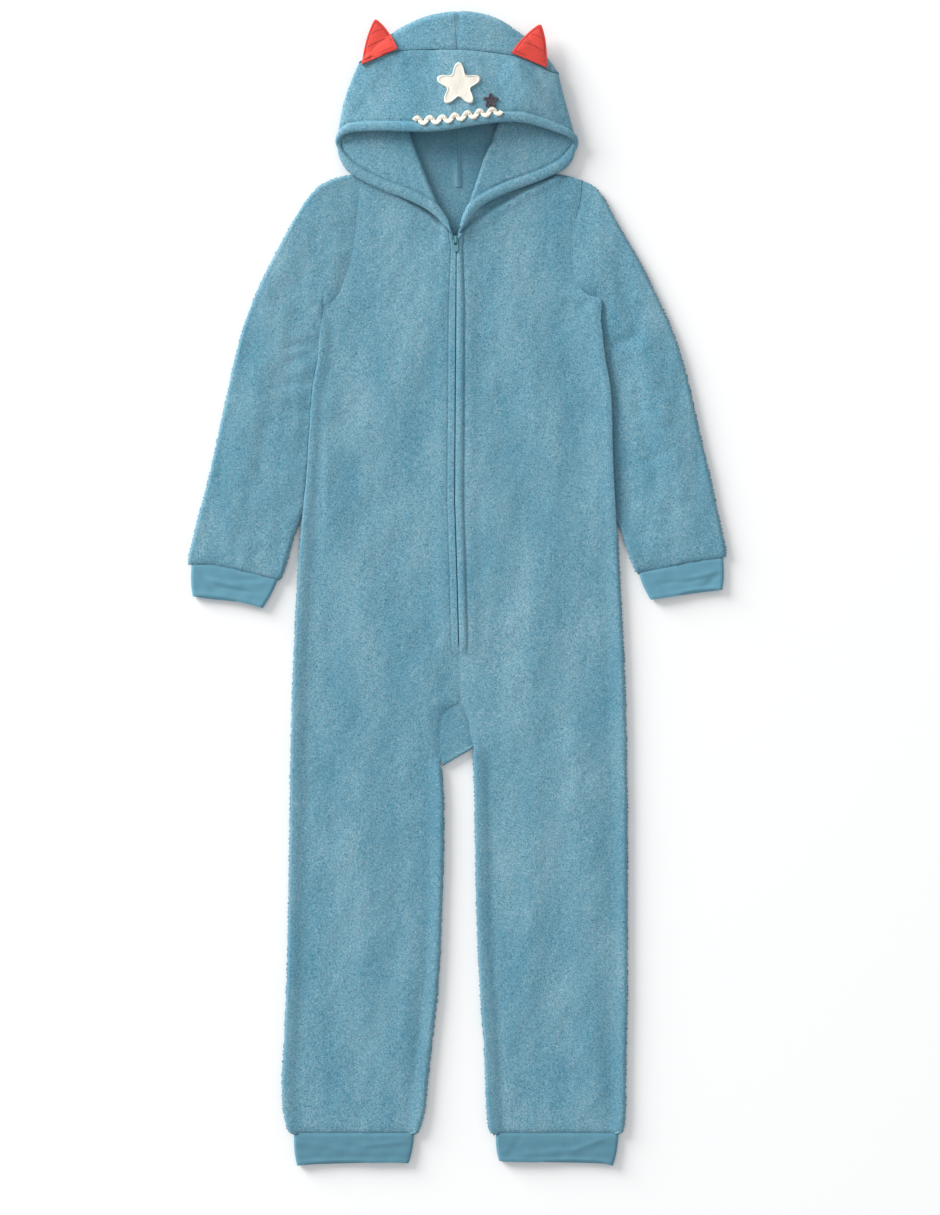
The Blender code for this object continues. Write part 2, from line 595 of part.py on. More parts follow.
def flat_tube(name, plan, widths, heights, thickness, spread, colour):
    """A tube pressed flat: plan(u, row) gives places, a ring profile the layers."""
    outer, inner = [], []
    for row, (width, height) in enumerate(zip(widths, heights)):
        profiles = ring_profile(width, height, thickness, spread)
        for target, profile in zip((outer, inner), profiles):
            place = plan(profile[:, 0] / width, row)
            target.append(world(place[:, 0], place[:, 1], profile[:, 1]))
    outer, inner = np.array(outer), np.array(inner)
    return wall(name, outer, inner, grid_faces(*outer.shape[:2], closed=True), colour)


def beside_body(side, at, gap):
    """Places a gap away from the body's silhouette, at rows counted along BODY."""
    body = columns(BODY_COLUMNS, BODY)
    edge = np.stack([body[side + "_x"], body[side + "_up"]], axis=1)
    at = np.asarray(at, float)
    step = 0.02
    run = between_rows(edge, at + step) - between_rows(edge, np.maximum(at - step, 0))
    out = np.stack([-run[:, 1], run[:, 0]], axis=1) * (-1 if side == "right" else 1)
    out /= np.linalg.norm(out, axis=1, keepdims=True)
    return between_rows(edge, at) + out * np.asarray(gap)[..., None]


def shares(path):
    """How far along a polyline each of its points lies, from 0 to 1."""
    steps = np.r_[0, np.cumsum(np.linalg.norm(np.diff(path, axis=0), axis=1))]
    return steps / steps[-1]


def along(path, u):
    """Places at shares of a polyline's length, in any order."""
    path = np.asarray(path, float)
    return np.stack([np.interp(u, shares(path), path[:, i]) for i in (0, 1)], axis=1)


def between_ends(points, u):
    """The straight line between a path's ends, at shares of it."""
    return np.outer(1 - u, points[0]) + np.outer(u, points[-1])


def sleeve_piece(side):
    """A sleeve: a Coons patch between its four edges gives the plan of the flat tube.

    Its armhole points and those of its inner edge are the body's own, moved out.
    """
    armhole = beside_body(side, [a for a in BODY_AT if a <= ARMHOLE_ROW], ARMHOLE_GAP)
    on_armhole = shares(armhole)
    spread = np.sort(np.r_[on_armhole[1:-1], (on_armhole[:-1] + on_armhole[1:]) / 2])
    gaps = blend(ARMHOLE_GAP, SIDE_GAP, ease(0, 1, np.array(BODY_BESIDE_SLEEVE) - ARMHOLE_ROW))
    beside = beside_body(side, BODY_BESIDE_SLEEVE, gaps)
    inner = np.vstack([beside, SLEEVE_LEAVES[side]])
    at = shares(inner)
    outer_path = np.vstack([armhole[:1], SLEEVE_OUTER[side][1:]])
    outer = smooth_path(outer_path, at)
    wrist = smooth_path(WRIST[side], 9)

    def plan(u, row):
        v = at[row]
        top, low = along(armhole, u), along(wrist, u)
        ruled = np.outer(1 - u, outer[row]) + np.outer(u, inner[row])
        corners = (1 - v) * between_ends(armhole, u) + v * between_ends(wrist, u)
        return (1 - v) * top + v * low + ruled - corners

    widths = np.linalg.norm(outer - inner, axis=1)
    heights = blend(2 * PLUSH + LAYER, SLEEVE_HEIGHT, ease(0.0, 0.2, at))
    heights = blend(heights, SLEEVE_END_HEIGHT, ease(0.9, 1.0, at))
    return flat_tube("sleeve_" + side, plan, widths, heights, PLUSH, spread, "plush")


def cuff_piece(name, seam, end):
    """A knit cuff: a short flat tube from its seam to its free edge, bellied between."""
    at = np.linspace(0, 1, CUFF_ROWS)
    seam, end = smooth_path(seam, 9), smooth_path(end, 9)
    down = np.array([0.0, -SEAM])

    def plan(u, row):
        v = at[row]
        inside = CUFF_INSET + (1 - 2 * CUFF_INSET) * u
        place = (1 - v) * (along(seam, inside) + down) + v * along(end, u)
        swell = CUFF_SWELL * math.sin(math.pi * v) * (2 * u - 1)
        return place + np.outer(swell, np.sign(seam[-1, 0] - seam[0, 0]) * np.array([1.0, 0.0]))

    spread = np.linspace(0, 1, 6)[1:-1]
    widths = [np.linalg.norm(plan(np.array([0.0, 1.0]), row) @ [1, 0] @ [-1, 1])
              for row in range(CUFF_ROWS)]
    return flat_tube(name, plan, widths, [CUFF_HEIGHT] * CUFF_ROWS, KNIT, spread, "knit")


# ---- hood -------------------------------------------------------------------
def band_middle():
    """Middle surface of the hood band: across each row, then round its rolled edge."""
    table = np.array(BAND, float)
    rows = between_rows(table, BAND_AT)
    radius = FOLD_RADIUS - PLUSH / 2
    grid = []
    for row in rows:
        part = dict(zip(BAND_COLUMNS, row))
        hem = np.array([part["hem_x"], part["hem_up"]])
        end = np.array([part["end_x"], part["end_up"]])
        length = np.linalg.norm(end - hem)
        across = (end - hem) / length
        side = np.array([across[1], -across[0]])
        turn = np.radians([0, 60, 120, 180])
        bottom = part["end_z"] - 2 * radius
        curled_p = np.r_[blend(0, length - FOLD_RADIUS, np.linspace(0, 1, 6))[:-1],
                         length - FOLD_RADIUS + radius * np.sin(turn),
                         length - FOLD_RADIUS - CHEEK_TURN]
        curled_z = np.r_[blend(part["hem_z"], part["end_z"], np.linspace(0, 1, 6))[:-1],
                         part["end_z"] - radius + radius * np.cos(turn), bottom]
        straight = np.linspace(0, 1, 10)
        flat_p = straight * length
        flat_z = blend(part["hem_z"], part["end_z"], straight)
        p = blend(flat_p, curled_p, part["curl"])
        z = blend(flat_z, curled_z, part["curl"])
        bow = part["bow"] * np.sin(math.pi * np.clip(p / length, 0, 1))
        place = hem + np.outer(p, across) - np.outer(bow, side) * np.sign(part["hem_x"])
        grid.append(world(place[:, 0], place[:, 1], z))
    return np.array(grid), rows


def hood_band():
    """The face band of the hood."""
    middle, _ = band_middle()
    return offset_wall("hood_band", middle, PLUSH, "plush")


def brow_seam():
    """The brow seam as places and heights, from the right end to the left end."""
    _, rows = band_middle()
    at = np.array(BAND_AT)
    seam = rows[(at >= BROW_ROWS[0]) & (at <= BROW_ROWS[1])]
    return seam[:, 2], seam[:, 3], seam[:, 5]


def hood_crown(side):
    """Half of the hood's back: up from the neck, round the top and on to the brow seam."""
    seam_x, seam_up, seam_z = brow_seam()
    sign, last = (-1, 0) if side == "right" else (1, -1)
    u = np.linspace(0, 1, 11)
    swing = np.sin(u * math.pi / 2) ** 0.9
    centre = {place: x + sign * SEAM / 2 for place, x in HOOD_SEAM_X.items()}
    neck, top = smooth_path(NECK_BACK, 60), smooth_path(HOOD_TOP, 80)
    neck_x = blend(centre["neck"], HOOD_NECK_ENDS[side], u)
    neck_up = np.interp(neck_x, neck[:, 0], neck[:, 1]) + 3 * SEAM
    top_x = blend(centre["top"], top[last, 0], swing)
    top_up = np.interp(top_x, top[:, 0], top[:, 1])
    brow_x = blend(centre["brow"], seam_x[last], swing)
    brow_up = np.interp(brow_x, seam_x, seam_up) + 2 * SEAM + BROW_END_ROOM * u**3
    brow_z = np.interp(brow_x, seam_x, seam_z)
    bulge = HOOD_BULGE[side] * u**2
    grid = []
    for start, crest, brow, brow_height, swell in zip(
            np.stack([neck_x, neck_up], axis=1), np.stack([top_x, top_up], axis=1),
            np.stack([brow_x, brow_up], axis=1), brow_z, sign * bulge):
        grid.append(crown_line(start, crest, brow, brow_height, swell))
    grid = np.array(grid)
    middle = world(grid[..., 0], grid[..., 1], grid[..., 2])
    return offset_wall("hood_crown_" + side, middle, PLUSH, "plush")


def crown_line(start, crest, brow, brow_height, swell):
    """One line of the crown: flat from the neck, round the top, then on to the brow seam.

    start, crest and brow are its places in plan; swell is its sideways bulge.
    """
    half = PLUSH / 2
    inward = (brow - crest) / max(np.linalg.norm(brow - crest), 1.0)
    crest = crest + inward * half
    depth = max(np.linalg.norm(brow - crest), 0.6)
    roll = min(HOOD_ROLL, depth)
    top_height = brow_height * (TOP_SHARE if depth > HOOD_ROLL else 1.0)
    middle_height = (half + top_height) / 2
    back = (start - crest) / np.linalg.norm(start - crest)
    w = np.linspace(0, 1, 8)
    flat = np.outer(1 - w, start) + np.outer(w, crest + back * HOOD_ROLL)
    flat[:, 0] += swell * np.sin(math.pi * np.clip(w * 1.15, 0, 1)) ** 0.9 * (1 - w)
    places = [np.r_[p, half] for p in flat]
    quarter = np.radians([30, 60, 90])
    for angle in quarter:
        places.append(np.r_[crest + back * HOOD_ROLL * (1 - math.sin(angle)),
                            blend(half, middle_height, 1 - math.cos(angle))])
    for angle in quarter:
        places.append(np.r_[crest + inward * roll * (1 - math.cos(angle)),
                            blend(middle_height, top_height, math.sin(angle))])
    rest = max(depth - roll, 0.9)
    for share in (0.33, 0.66, 1.0):
        places.append(np.r_[crest + inward * (roll + rest * share),
                            blend(top_height, brow_height, share)])
    return places


# ---- felt pieces and braid --------------------------------------------------
def surface_under(pieces, floor=0.0):
    """A function that gives the highest of some pieces at a place, in millimetres."""
    trees = []
    for piece in pieces:
        mesh = piece.data
        points = [piece.matrix_world @ v.co for v in mesh.vertices]
        trees.append(BVHTree.FromPolygons(points, [list(p.vertices) for p in mesh.polygons]))

    def height(x, up):
        above = Vector((x * MM, (up - LENGTH / 2) * MM, 1.0))
        hits = [tree.ray_cast(above, Vector((0, 0, -1)))[0] for tree in trees]
        return max([hit.z / MM for hit in hits if hit is not None] + [floor])

    return height


def lying_patch(name, outline, rings, thickness, height, colour, floor=0.0):
    """A flat piece with the given outline that follows the surface it lies on."""
    outline = np.asarray(outline, float)
    middle = outline.mean(axis=0)
    count = len(outline)
    places = np.vstack([middle] + [blend(middle, outline, ring / rings)
                                   for ring in range(1, rings + 1)])
    turn = np.linspace(0, 2 * math.pi, 6, endpoint=False)
    round_about = np.vstack([(0, 0), PATCH_REACH * np.stack([np.cos(turn), np.sin(turn)], axis=1)])
    z = np.array([max([height(*(place + shift)) for shift in round_about] + [floor])
                  for place in places]) + LIE
    faces = [(0, 1 + i, 1 + (i + 1) % count) for i in range(count)]
    for ring in range(rings - 1):
        a, b = 1 + ring * count, 1 + (ring + 1) * count
        faces += [(a + i, b + i, b + (i + 1) % count, a + (i + 1) % count) for i in range(count)]
    top = world(places[:, 0], places[:, 1], z + thickness)
    low = world(places[:, 0], places[:, 1], z)
    return wall(name, top, low, faces, colour)


def ear_outline(side):
    """A rounded triangle on the brow seam."""
    (ax, au), (bx, bu) = EAR_BASE[side]
    tip = np.array(EAR_TIP[side], float)
    a, b = np.array([ax, au], float), np.array([bx, bu], float)
    t = np.linspace(0, 1, 9)[:, None]
    swell = (b - a) * 0.14
    left_ctrl = blend(a, tip, 0.62) - swell
    right_ctrl = blend(b, tip, 0.62) + swell
    near_tip_a, near_tip_b = blend(tip, left_ctrl, 0.16), blend(tip, right_ctrl, 0.16)
    rise = (1 - t) ** 2 * a + 2 * t * (1 - t) * left_ctrl + t**2 * near_tip_a
    fall = (1 - t) ** 2 * near_tip_b + 2 * t * (1 - t) * right_ctrl + t**2 * b
    cap = blend(near_tip_a, near_tip_b, 0.5) + (tip - blend(near_tip_a, near_tip_b, 0.5)) * 0.5
    base = np.array([blend(b, a, s) for s in (0.25, 0.5, 0.75)])
    return np.vstack([rise, cap[None], fall, base])


def star_outline(star, points=5, inner=0.55, samples=40):
    """A star with soft points: the radius swings between its tips and its hollows."""
    angle = np.linspace(0, 2 * math.pi, samples, endpoint=False) + math.pi / 2
    wave = 0.5 + 0.5 * np.cos(points * (angle - math.pi / 2))
    radius = star["radius"] * (inner + (1 - inner) * wave**1.3)
    return np.stack([star["x"] + radius * np.cos(angle), star["up"] + radius * np.sin(angle)], axis=1)


def braid_piece(height):
    """A wavy braid along the brim, on the hood band."""
    table = np.array(BAND, float)
    brim = table[BROW_ROWS[0] + 1: BROW_ROWS[1]]
    x = np.linspace(BRAID["start"], BRAID["end"], 2 * BRAID["waves"] * 3 + 1)
    phase = (x - x[0]) / (x[-1] - x[0]) * BRAID["waves"] * 2 * math.pi
    edge = np.interp(x, brim[:, 0], brim[:, 1])
    up = edge + BRAID["inset"] + BRAID["rise"] * np.sin(phase)
    slope = np.gradient(up, x)
    normal = np.stack([-slope, np.ones_like(slope)], axis=1)
    normal /= np.linalg.norm(normal, axis=1, keepdims=True)
    across = np.linspace(-0.5, 0.5, 3) * BRAID["width"]
    places = np.stack([x, up], axis=1)[:, None] + normal[:, None] * across[None, :, None]
    z = np.array([[max(height(px, pu), height(px, pu + 1.2), height(px, pu - 1.2))
                   for px, pu in row] for row in places]) + LIE
    top = world(places[..., 0], places[..., 1], z + BRAID["thick"])
    low = world(places[..., 0], places[..., 1], z)
    return wall("braid", top, low, grid_faces(*top.shape[:2]), "cream_felt")


# ---- zip --------------------------------------------------------------------
def strip(name, ups, x_from, x_to, z_low, z_high, colour):
    """A thin bar that follows the centre line between two distances from it."""
    ups = np.asarray(ups, float)
    line = centre_x(ups)
    top = np.stack([world(line + x, ups, z_high) for x in (x_from, x_to)], axis=1)
    low = np.stack([world(line + x, ups, z_low) for x in (x_from, x_to)], axis=1)
    return wall(name, top, low, grid_faces(*top.shape[:2]), colour)


def zip_pieces():
    """Tapes and coil, flat under the edges of the fronts."""
    ups = np.linspace(ZIP_TOP, ZIP_END, 15)
    half = COIL_WIDTH / 2
    strip("zip_tape_right", ups, -half - SEAM - TAPE_WIDTH, -half - SEAM, ZIP_FLOOR,
          ZIP_FLOOR + TAPE_THICK, "zip_tape")
    strip("zip_tape_left", ups, half + SEAM, half + SEAM + TAPE_WIDTH, ZIP_FLOOR,
          ZIP_FLOOR + TAPE_THICK, "zip_tape")
    strip("zip_coil", ups, -half, half, ZIP_FLOOR, ZIP_FLOOR + COIL_HEIGHT, "zip_plastic")


def prism(outline, low, high, across=False):
    """Points and faces of a plate between two heights, with a flat outline of x and up.

    across makes it a bar between two x, with an outline of up and z.
    """
    first, second = np.array(outline, float).T
    ends = [world(end, first, second) if across else world(first, second, end)
            for end in (low, high)]
    count = len(first)
    faces = [tuple(range(count - 1, -1, -1)), tuple(range(count, 2 * count))]
    faces += [(i, (i + 1) % count, (i + 1) % count + count, i + count) for i in range(count)]
    return np.vstack(ends), faces


def combine(piece, operation, tool):
    """Joins a tool's solid to a piece, or cuts it away, with a live modifier."""
    tool.hide_render = True
    tool.display_type = "WIRE"
    step = piece.modifiers.new(tool.name, "BOOLEAN")
    step.operation, step.solver, step.object = operation, "EXACT", tool


def slider_piece():
    """The slider: a shield-shaped body with a bridge that holds the pull tab."""
    x, half = SLIDER["x"], SLIDER["half_width"]
    low, high = SLIDER["low"], SLIDER["high"]
    outline = [(x - half * 0.62, low), (x + half * 0.62, low), (x + half, low + 3.4),
               (x + half, high - 1.6), (x + half * 0.5, high), (x - half * 0.5, high),
               (x - half, high - 1.6), (x - half, low + 3.4)]
    points, faces = prism(outline, SLIDER["floor"], SLIDER["top"])
    body = add_object("zip_slider", points, faces, "zip_plastic")
    w, foot = BRIDGE["wall"], SLIDER["top"] - 0.6
    a, b, crest = BRIDGE["low"], BRIDGE["high"], BRIDGE["top"]
    arch = [(a, foot), (a + w, foot), (a + w, crest - w), (b - w, crest - w), (b - w, foot),
            (b, foot), (b, crest - 0.8), (b - 0.9, crest), (a + 0.9, crest), (a, crest - 0.8)]
    points, faces = prism(arch, x - BRIDGE["half_width"], x + BRIDGE["half_width"], across=True)
    combine(body, "UNION", add_object("bridge_tool", points, faces, "zip_plastic"))


def pull_tab_piece():
    """The pull tab: a bar under the bridge, two arms and a rounded plate."""
    x, half = SLIDER["x"], TAB["half_width"]
    z_low = TAB["pivot_z"] - TAB["thick"] / 2
    head = TAB["pivot_up"] + TAB["bar"] / 2
    end = TAB["end"]
    arc = [(x + half * math.cos(a), end + half + half * math.sin(a))
           for a in np.radians([180, 216, 252, 288, 324, 360])]
    outline = arc + [(x + half, head), (x - half, head)]
    window_high = head - TAB["bar"]
    w = TAB["window"]
    hole = [(x - w, TAB["window_low"]), (x + w, TAB["window_low"]), (x + w, window_high),
            (x - w, window_high)]
    origin = world(x, TAB["pivot_up"], TAB["pivot_z"])
    points, faces = prism(outline, z_low, z_low + TAB["thick"])
    tab = add_object("zip_pull_tab", points, faces, "zip_plastic", origin)
    points, faces = prism(hole, z_low - 1, z_low + TAB["thick"] + 1)
    combine(tab, "DIFFERENCE", add_object("window_tool", points, faces, "zip_plastic"))


# ---- the garment ------------------------------------------------------------
def build():
    """Makes every piece."""
    for old in list(bpy.data.objects):
        bpy.data.objects.remove(old, do_unlink=True)
    back_piece()
    for side in ("right", "left"):
        front_piece(side)
        sleeve_piece(side)
        cuff_piece("wrist_cuff_" + side, WRIST[side], WRIST_ENDS[side])
        cuff_piece("ankle_cuff_" + side, ANKLE[side], ANKLE_ENDS[side])
    gusset_piece()
    band = hood_band()
    crowns = [hood_crown(side) for side in ("right", "left")]
    on_hood = surface_under([band] + crowns)
    for side in ("right", "left"):
        lying_patch("ear_" + side, ear_outline(side), 3, 2 * FELT, on_hood, "red_felt", EAR_LOWEST)
    lying_patch("star_large", star_outline(STAR_LARGE), 2, FELT, on_hood, "cream_felt")
    lying_patch("star_small", star_outline(STAR_SMALL, samples=20), 2, FELT, on_hood,
                "charcoal_felt")
    braid_piece(on_hood)
    zip_pieces()
    slider_piece()
    pull_tab_piece()


build()
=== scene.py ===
"""The looks of a child's hooded one-piece pajama of plush fleece, laid flat.

Every cloth piece is a fine shell on its solid's form, with its seams, hems and soft
folds, and the plush has its pile as small tufts of real geometry.  Places are given
in millimetres: x across from the middle of the garment, up from the ankle hem and z
above the surface it lies on.  Right and left are the wearer's.
"""
from __future__ import annotations

import json
import logging
import math
from dataclasses import dataclass, field
from enum import Enum
from typing import Callable, Sequence

import bpy
import numpy as np
from bpy.types import Material, Mesh, NodeSocket, Object
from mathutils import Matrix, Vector
from mathutils.bvhtree import BVHTree

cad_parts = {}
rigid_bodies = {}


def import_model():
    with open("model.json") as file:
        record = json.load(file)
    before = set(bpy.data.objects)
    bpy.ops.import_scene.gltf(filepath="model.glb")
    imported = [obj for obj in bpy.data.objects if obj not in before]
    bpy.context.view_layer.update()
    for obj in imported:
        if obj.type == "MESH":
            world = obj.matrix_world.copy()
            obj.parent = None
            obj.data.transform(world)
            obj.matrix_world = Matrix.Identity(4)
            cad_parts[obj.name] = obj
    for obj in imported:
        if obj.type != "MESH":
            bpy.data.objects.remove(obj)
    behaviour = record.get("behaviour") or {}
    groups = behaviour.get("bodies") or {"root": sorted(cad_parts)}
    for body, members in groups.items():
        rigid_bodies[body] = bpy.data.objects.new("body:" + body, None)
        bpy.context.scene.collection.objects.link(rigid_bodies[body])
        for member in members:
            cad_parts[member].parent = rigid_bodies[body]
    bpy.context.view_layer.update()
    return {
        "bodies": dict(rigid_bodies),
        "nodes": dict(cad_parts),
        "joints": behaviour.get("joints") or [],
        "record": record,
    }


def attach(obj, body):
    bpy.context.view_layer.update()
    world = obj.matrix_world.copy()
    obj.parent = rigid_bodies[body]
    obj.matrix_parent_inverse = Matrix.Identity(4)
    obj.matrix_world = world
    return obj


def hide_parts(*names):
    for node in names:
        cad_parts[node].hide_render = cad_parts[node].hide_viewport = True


log = logging.getLogger("pajama")
Array = np.ndarray

MM = 0.001
# Millimetres: the garment from hem to hood top, the walls, and the gaps between two
# layers and between the two halves of a seam.
LENGTH = 1382.0
PLUSH, KNIT, FELT = 3.0, 2.0, 1.6
LAYER = 0.8
SEAM = 0.3
CREASE = 55.0  # degrees, past which an edge is shaded sharp
BODY_OF_CLOTH = "garment"


class Side(Enum):
    """A side of the garment, as its wearer has it."""

    RIGHT = "right"
    LEFT = "left"

    @property
    def sign(self) -> int:
        """-1 on the wearer's right, which lies at -X, and 1 on the left."""
        return -1 if self is Side.RIGHT else 1


class Slot(Enum):
    """The record's material slots."""

    PLUSH = "plush"
    KNIT = "knit"
    RED = "red_felt"
    CREAM = "cream_felt"
    CHARCOAL = "charcoal_felt"
    BRAID = "cream_braid"
    PLASTIC = "zip_plastic"


def both(right: object, left: object) -> object:
    """A dataclass field that holds one value for each side."""
    return field(default_factory=lambda: {Side.RIGHT: right, Side.LEFT: left})


# ---- arithmetic on arrays ---------------------------------------------------
def world(x: Array, up: Array, z: Array) -> Array:
    """Points in metres, from millimetres across, up from the hem and above the floor."""
    x, up, z = np.broadcast_arrays(*(np.asarray(v, float) for v in (x, up, z)))
    return np.stack([x, up - LENGTH / 2, z], axis=-1) * MM


def blend(a: Array, b: Array, amount: Array) -> Array:
    """A mix of two values: a at 0 and b at 1."""
    return a + (b - a) * amount


def ease(low: float, high: float, value: Array) -> Array:
    """A smooth step from 0 at low to 1 at high: 3t^2 - 2t^3."""
    t = np.clip((np.asarray(value, float) - low) / (high - low), 0, 1)
    return t * t * (3 - 2 * t)


def hump(distance: Array, width: float) -> Array:
    """A bell curve of the distance: 1 on the line and 0.37 at the width."""
    return np.exp(-np.square(np.asarray(distance, float) / width))


def unit(vectors: Array) -> Array:
    """Vectors along the last axis brought to length 1."""
    return vectors / np.maximum(np.linalg.norm(vectors, axis=-1, keepdims=True), 1e-12)


def between_rows(table: Sequence, at: Array) -> Array:
    """Rows of a table at whole and part row numbers, by uniform Catmull-Rom spans.

    Args:
        table: rows of numbers.
        at: row numbers, with fractions.

    Returns:
        One row for each number asked.
    """
    table = np.asarray(table, float)
    padded = np.vstack([2 * table[0] - table[1], table, 2 * table[-1] - table[-2]])
    at = np.atleast_1d(np.asarray(at, float))
    low = np.minimum(at.astype(int), len(table) - 2)
    t = (at - low)[:, None]
    p0, p1, p2, p3 = (padded[low + k] for k in range(4))
    return 0.5 * (2 * p1 + (p2 - p0) * t + (2 * p0 - 5 * p1 + 4 * p2 - p3) * t**2
                  + (3 * p1 - p0 - 3 * p2 + p3) * t**3)


def shares(points: Array) -> Array:
    """How far along its length each point of a path lies, from 0 to 1.

    Args:
        points: rows of coordinates.

    Returns:
        One share for each point.
    """
    steps = np.linalg.norm(np.diff(points, axis=0), axis=1)
    total = np.r_[0, np.cumsum(steps)]
    return total / total[-1]


def path_length(path: Array) -> float:
    """The length of a polyline."""
    return np.linalg.norm(np.diff(path, axis=0), axis=1).sum()


def along(path: Array, u: Array) -> Array:
    """Places at shares of a polyline's length."""
    where = shares(path)
    return np.stack([np.interp(u, where, axis) for axis in path.T], axis=1)


def smooth_path(points: Sequence, at: Array) -> Array:
    """Places at shares of the length of a smooth curve through some points."""
    dense = between_rows(points, np.linspace(0, len(points) - 1, 16 * len(points)))
    return along(dense, at)


def bend(start: Array, pull: Array, stop: Array, t: Array) -> Array:
    """A curve pulled to one side: (1-t)^2 start + 2t(1-t) pull + t^2 stop."""
    return (1 - t) ** 2 * start + 2 * t * (1 - t) * pull + t**2 * stop


def away_from(path: Sequence, x: Array, up: Array) -> tuple[Array, Array]:
    """Distance from a polyline, and the share of its length at the nearest place.

    Args:
        path: rows of x and up.
        x, up: the places to measure, of any shape.

    Returns:
        The distances, positive on the left of the path's way, and the shares.
    """
    pts = np.asarray(path, float)
    at = shares(pts)
    best = np.full(np.shape(x), 1e9)
    signed, share = np.zeros(np.shape(x)), np.zeros(np.shape(x))
    for a, b, sa, sb in zip(pts[:-1], pts[1:], at[:-1], at[1:]):
        run = b - a
        t = np.clip(((x - a[0]) * run[0] + (up - a[1]) * run[1]) / run.dot(run), 0, 1)
        dx, dy = x - a[0] - t * run[0], up - a[1] - t * run[1]
        d = np.hypot(dx, dy)
        nearer = d < best
        side = np.sign(run[0] * dy - run[1] * dx)
        best = np.where(nearer, d, best)
        signed = np.where(nearer, d * side, signed)
        share = np.where(nearer, blend(sa, sb, t), share)
    return signed, share


def waves(x: Array, up: Array, size: float, seed: int) -> Array:
    """A smooth uneven surface from -1 to 1: a sum of sine waves of many directions.

    Args:
        x, up: places in millimetres.
        size: the length of the waves in millimetres.
        seed: picks the waves.

    Returns:
        The height at each place.
    """
    rng = np.random.default_rng(seed)
    total = np.zeros(np.shape(x))
    for _ in range(7):
        angle, phase = rng.uniform(0, 2 * math.pi, 2)
        pace = 2 * math.pi / (size * rng.uniform(0.6, 1.6))
        total += np.sin((x * math.cos(angle) + up * math.sin(angle)) * pace + phase)
    return total / 4.5


# ---- meshes -----------------------------------------------------------------
def grid_quads(rows: int, columns: int, start: int = 0, closed: bool = False) -> Array:
    """Four corners for each cell of a grid of points; closed joins its two sides.

    Args:
        rows, columns: the grid's size.
        start: the number of its first point.
        closed: True for a tube.

    Returns:
        Rows of four corners.
    """
    r, c = np.meshgrid(np.arange(rows - 1), np.arange(columns if closed else columns - 1),
                       indexing="ij")
    d = (c + 1) % columns
    quads = np.stack([r * columns + c, r * columns + d, (r + 1) * columns + d,
                      (r + 1) * columns + c], axis=-1)
    return quads.reshape(-1, 4) + start


def enclosed(points: Array, faces: Array) -> float:
    """The volume held by quads, as a sum of tetrahedra on the origin."""
    a, b, c, d = (points[faces[:, i]] for i in range(4))
    return float((np.cross(a, b) * c).sum() + (np.cross(a, c) * d).sum()) / 6


def add_mesh(name: str, points: Array, faces: list) -> Object:
    """A new object at the origin, shaded smooth but for its creases.

    Args:
        name: the piece's name.
        points: places in metres.
        faces: lists of corners.

    Returns:
        The object, linked to the scene.
    """
    mesh = bpy.data.meshes.new(name)
    mesh.from_pydata(np.asarray(points).tolist(), [], faces)
    mesh.update()
    mesh.shade_smooth()
    mesh.set_sharp_from_angle(angle=math.radians(CREASE))
    piece = bpy.data.objects.new(name, mesh)
    bpy.context.scene.collection.objects.link(piece)
    return piece


def give_press_and_shade(mesh: Mesh, press: Array) -> None:
    """Stores how far seams flatten the pile, with painted shade added, at each point, from 0 to 1.
    """
    mesh.attributes.new("press", "FLOAT", "POINT")
    mesh.attributes["press"].data.foreach_set("value", np.ascontiguousarray(press, np.float32))


def shell(name: str, outer: Array, inner: Array, quads: Array,
          press: Array | None = None, inside: float = 0.0) -> Object:
    """A closed cloth wall: two sheets of points, with a rim along every free edge.

    Points whose outer and inner places both coincide are one, so grids that share a
    line are joined along it.

    Args:
        name: the piece's name.
        outer, inner: matching points of the two surfaces, in metres.
        quads: corners of the outer surface's cells.
        press: how far seams flatten the pile, with painted shade added, from 0 to 1, at the outer
            points.
        inside: painted shade at all inner points, from 0 to 1.
        inside: the same at all inner points.

    Returns:
        The object, with its faces outwards.
    """
    outer, inner = outer.reshape(-1, 3), inner.reshape(-1, 3)
    keys = np.round(np.hstack([outer, inner]) / (0.01 * MM)).astype(np.int64)
    _, first, remap = np.unique(keys, axis=0, return_index=True, return_inverse=True)
    outer, inner, quads = outer[first], inner[first], remap.reshape(-1)[quads]
    count = len(outer)
    same = quads == np.roll(quads, -1, axis=1)
    quads = quads[same.sum(axis=1) < 2]
    start = quads.ravel()
    stop = np.roll(quads, -1, axis=1).ravel()
    real = start != stop
    start, stop = start[real], stop[real]
    free = ~np.isin(stop * count + start, start * count + stop)
    a, b = start[free], stop[free]
    faces = np.vstack([quads, quads[:, ::-1] + count,
                       np.stack([b, a, a + count, b + count], axis=1)])
    points = np.vstack([outer, inner])
    if enclosed(points, faces) < 0:
        faces = faces[:, ::-1]
    lists = [[c for i, c in enumerate(f) if c != f[i - 1]] for f in faces.tolist()]
    piece = add_mesh(name, points, lists)
    # seam flattening and painted shade at every point: outer values given, inner ones all equal
    pressed_and_shaded = np.full(len(points), inside)
    pressed_and_shaded[:count] = 0.0
    if press is not None:
        pressed_and_shaded[:count] = press.ravel()[first]
    give_press_and_shade(piece.data, pressed_and_shaded)
    return piece


def grid_shell(name: str, outer: Array, inner: Array, closed: bool = False,
               press: Array | None = None, inside: float = 0.0) -> Object:
    """A closed cloth wall from one grid of points; closed makes it a tube."""
    return shell(name, outer, inner, grid_quads(*outer.shape[:2], closed=closed), press, inside)


def normals(grid: Array) -> Array:
    """Unit normals of a grid of points: the cross product of its two directions."""
    return unit(np.cross(np.gradient(grid, axis=1), np.gradient(grid, axis=0)))


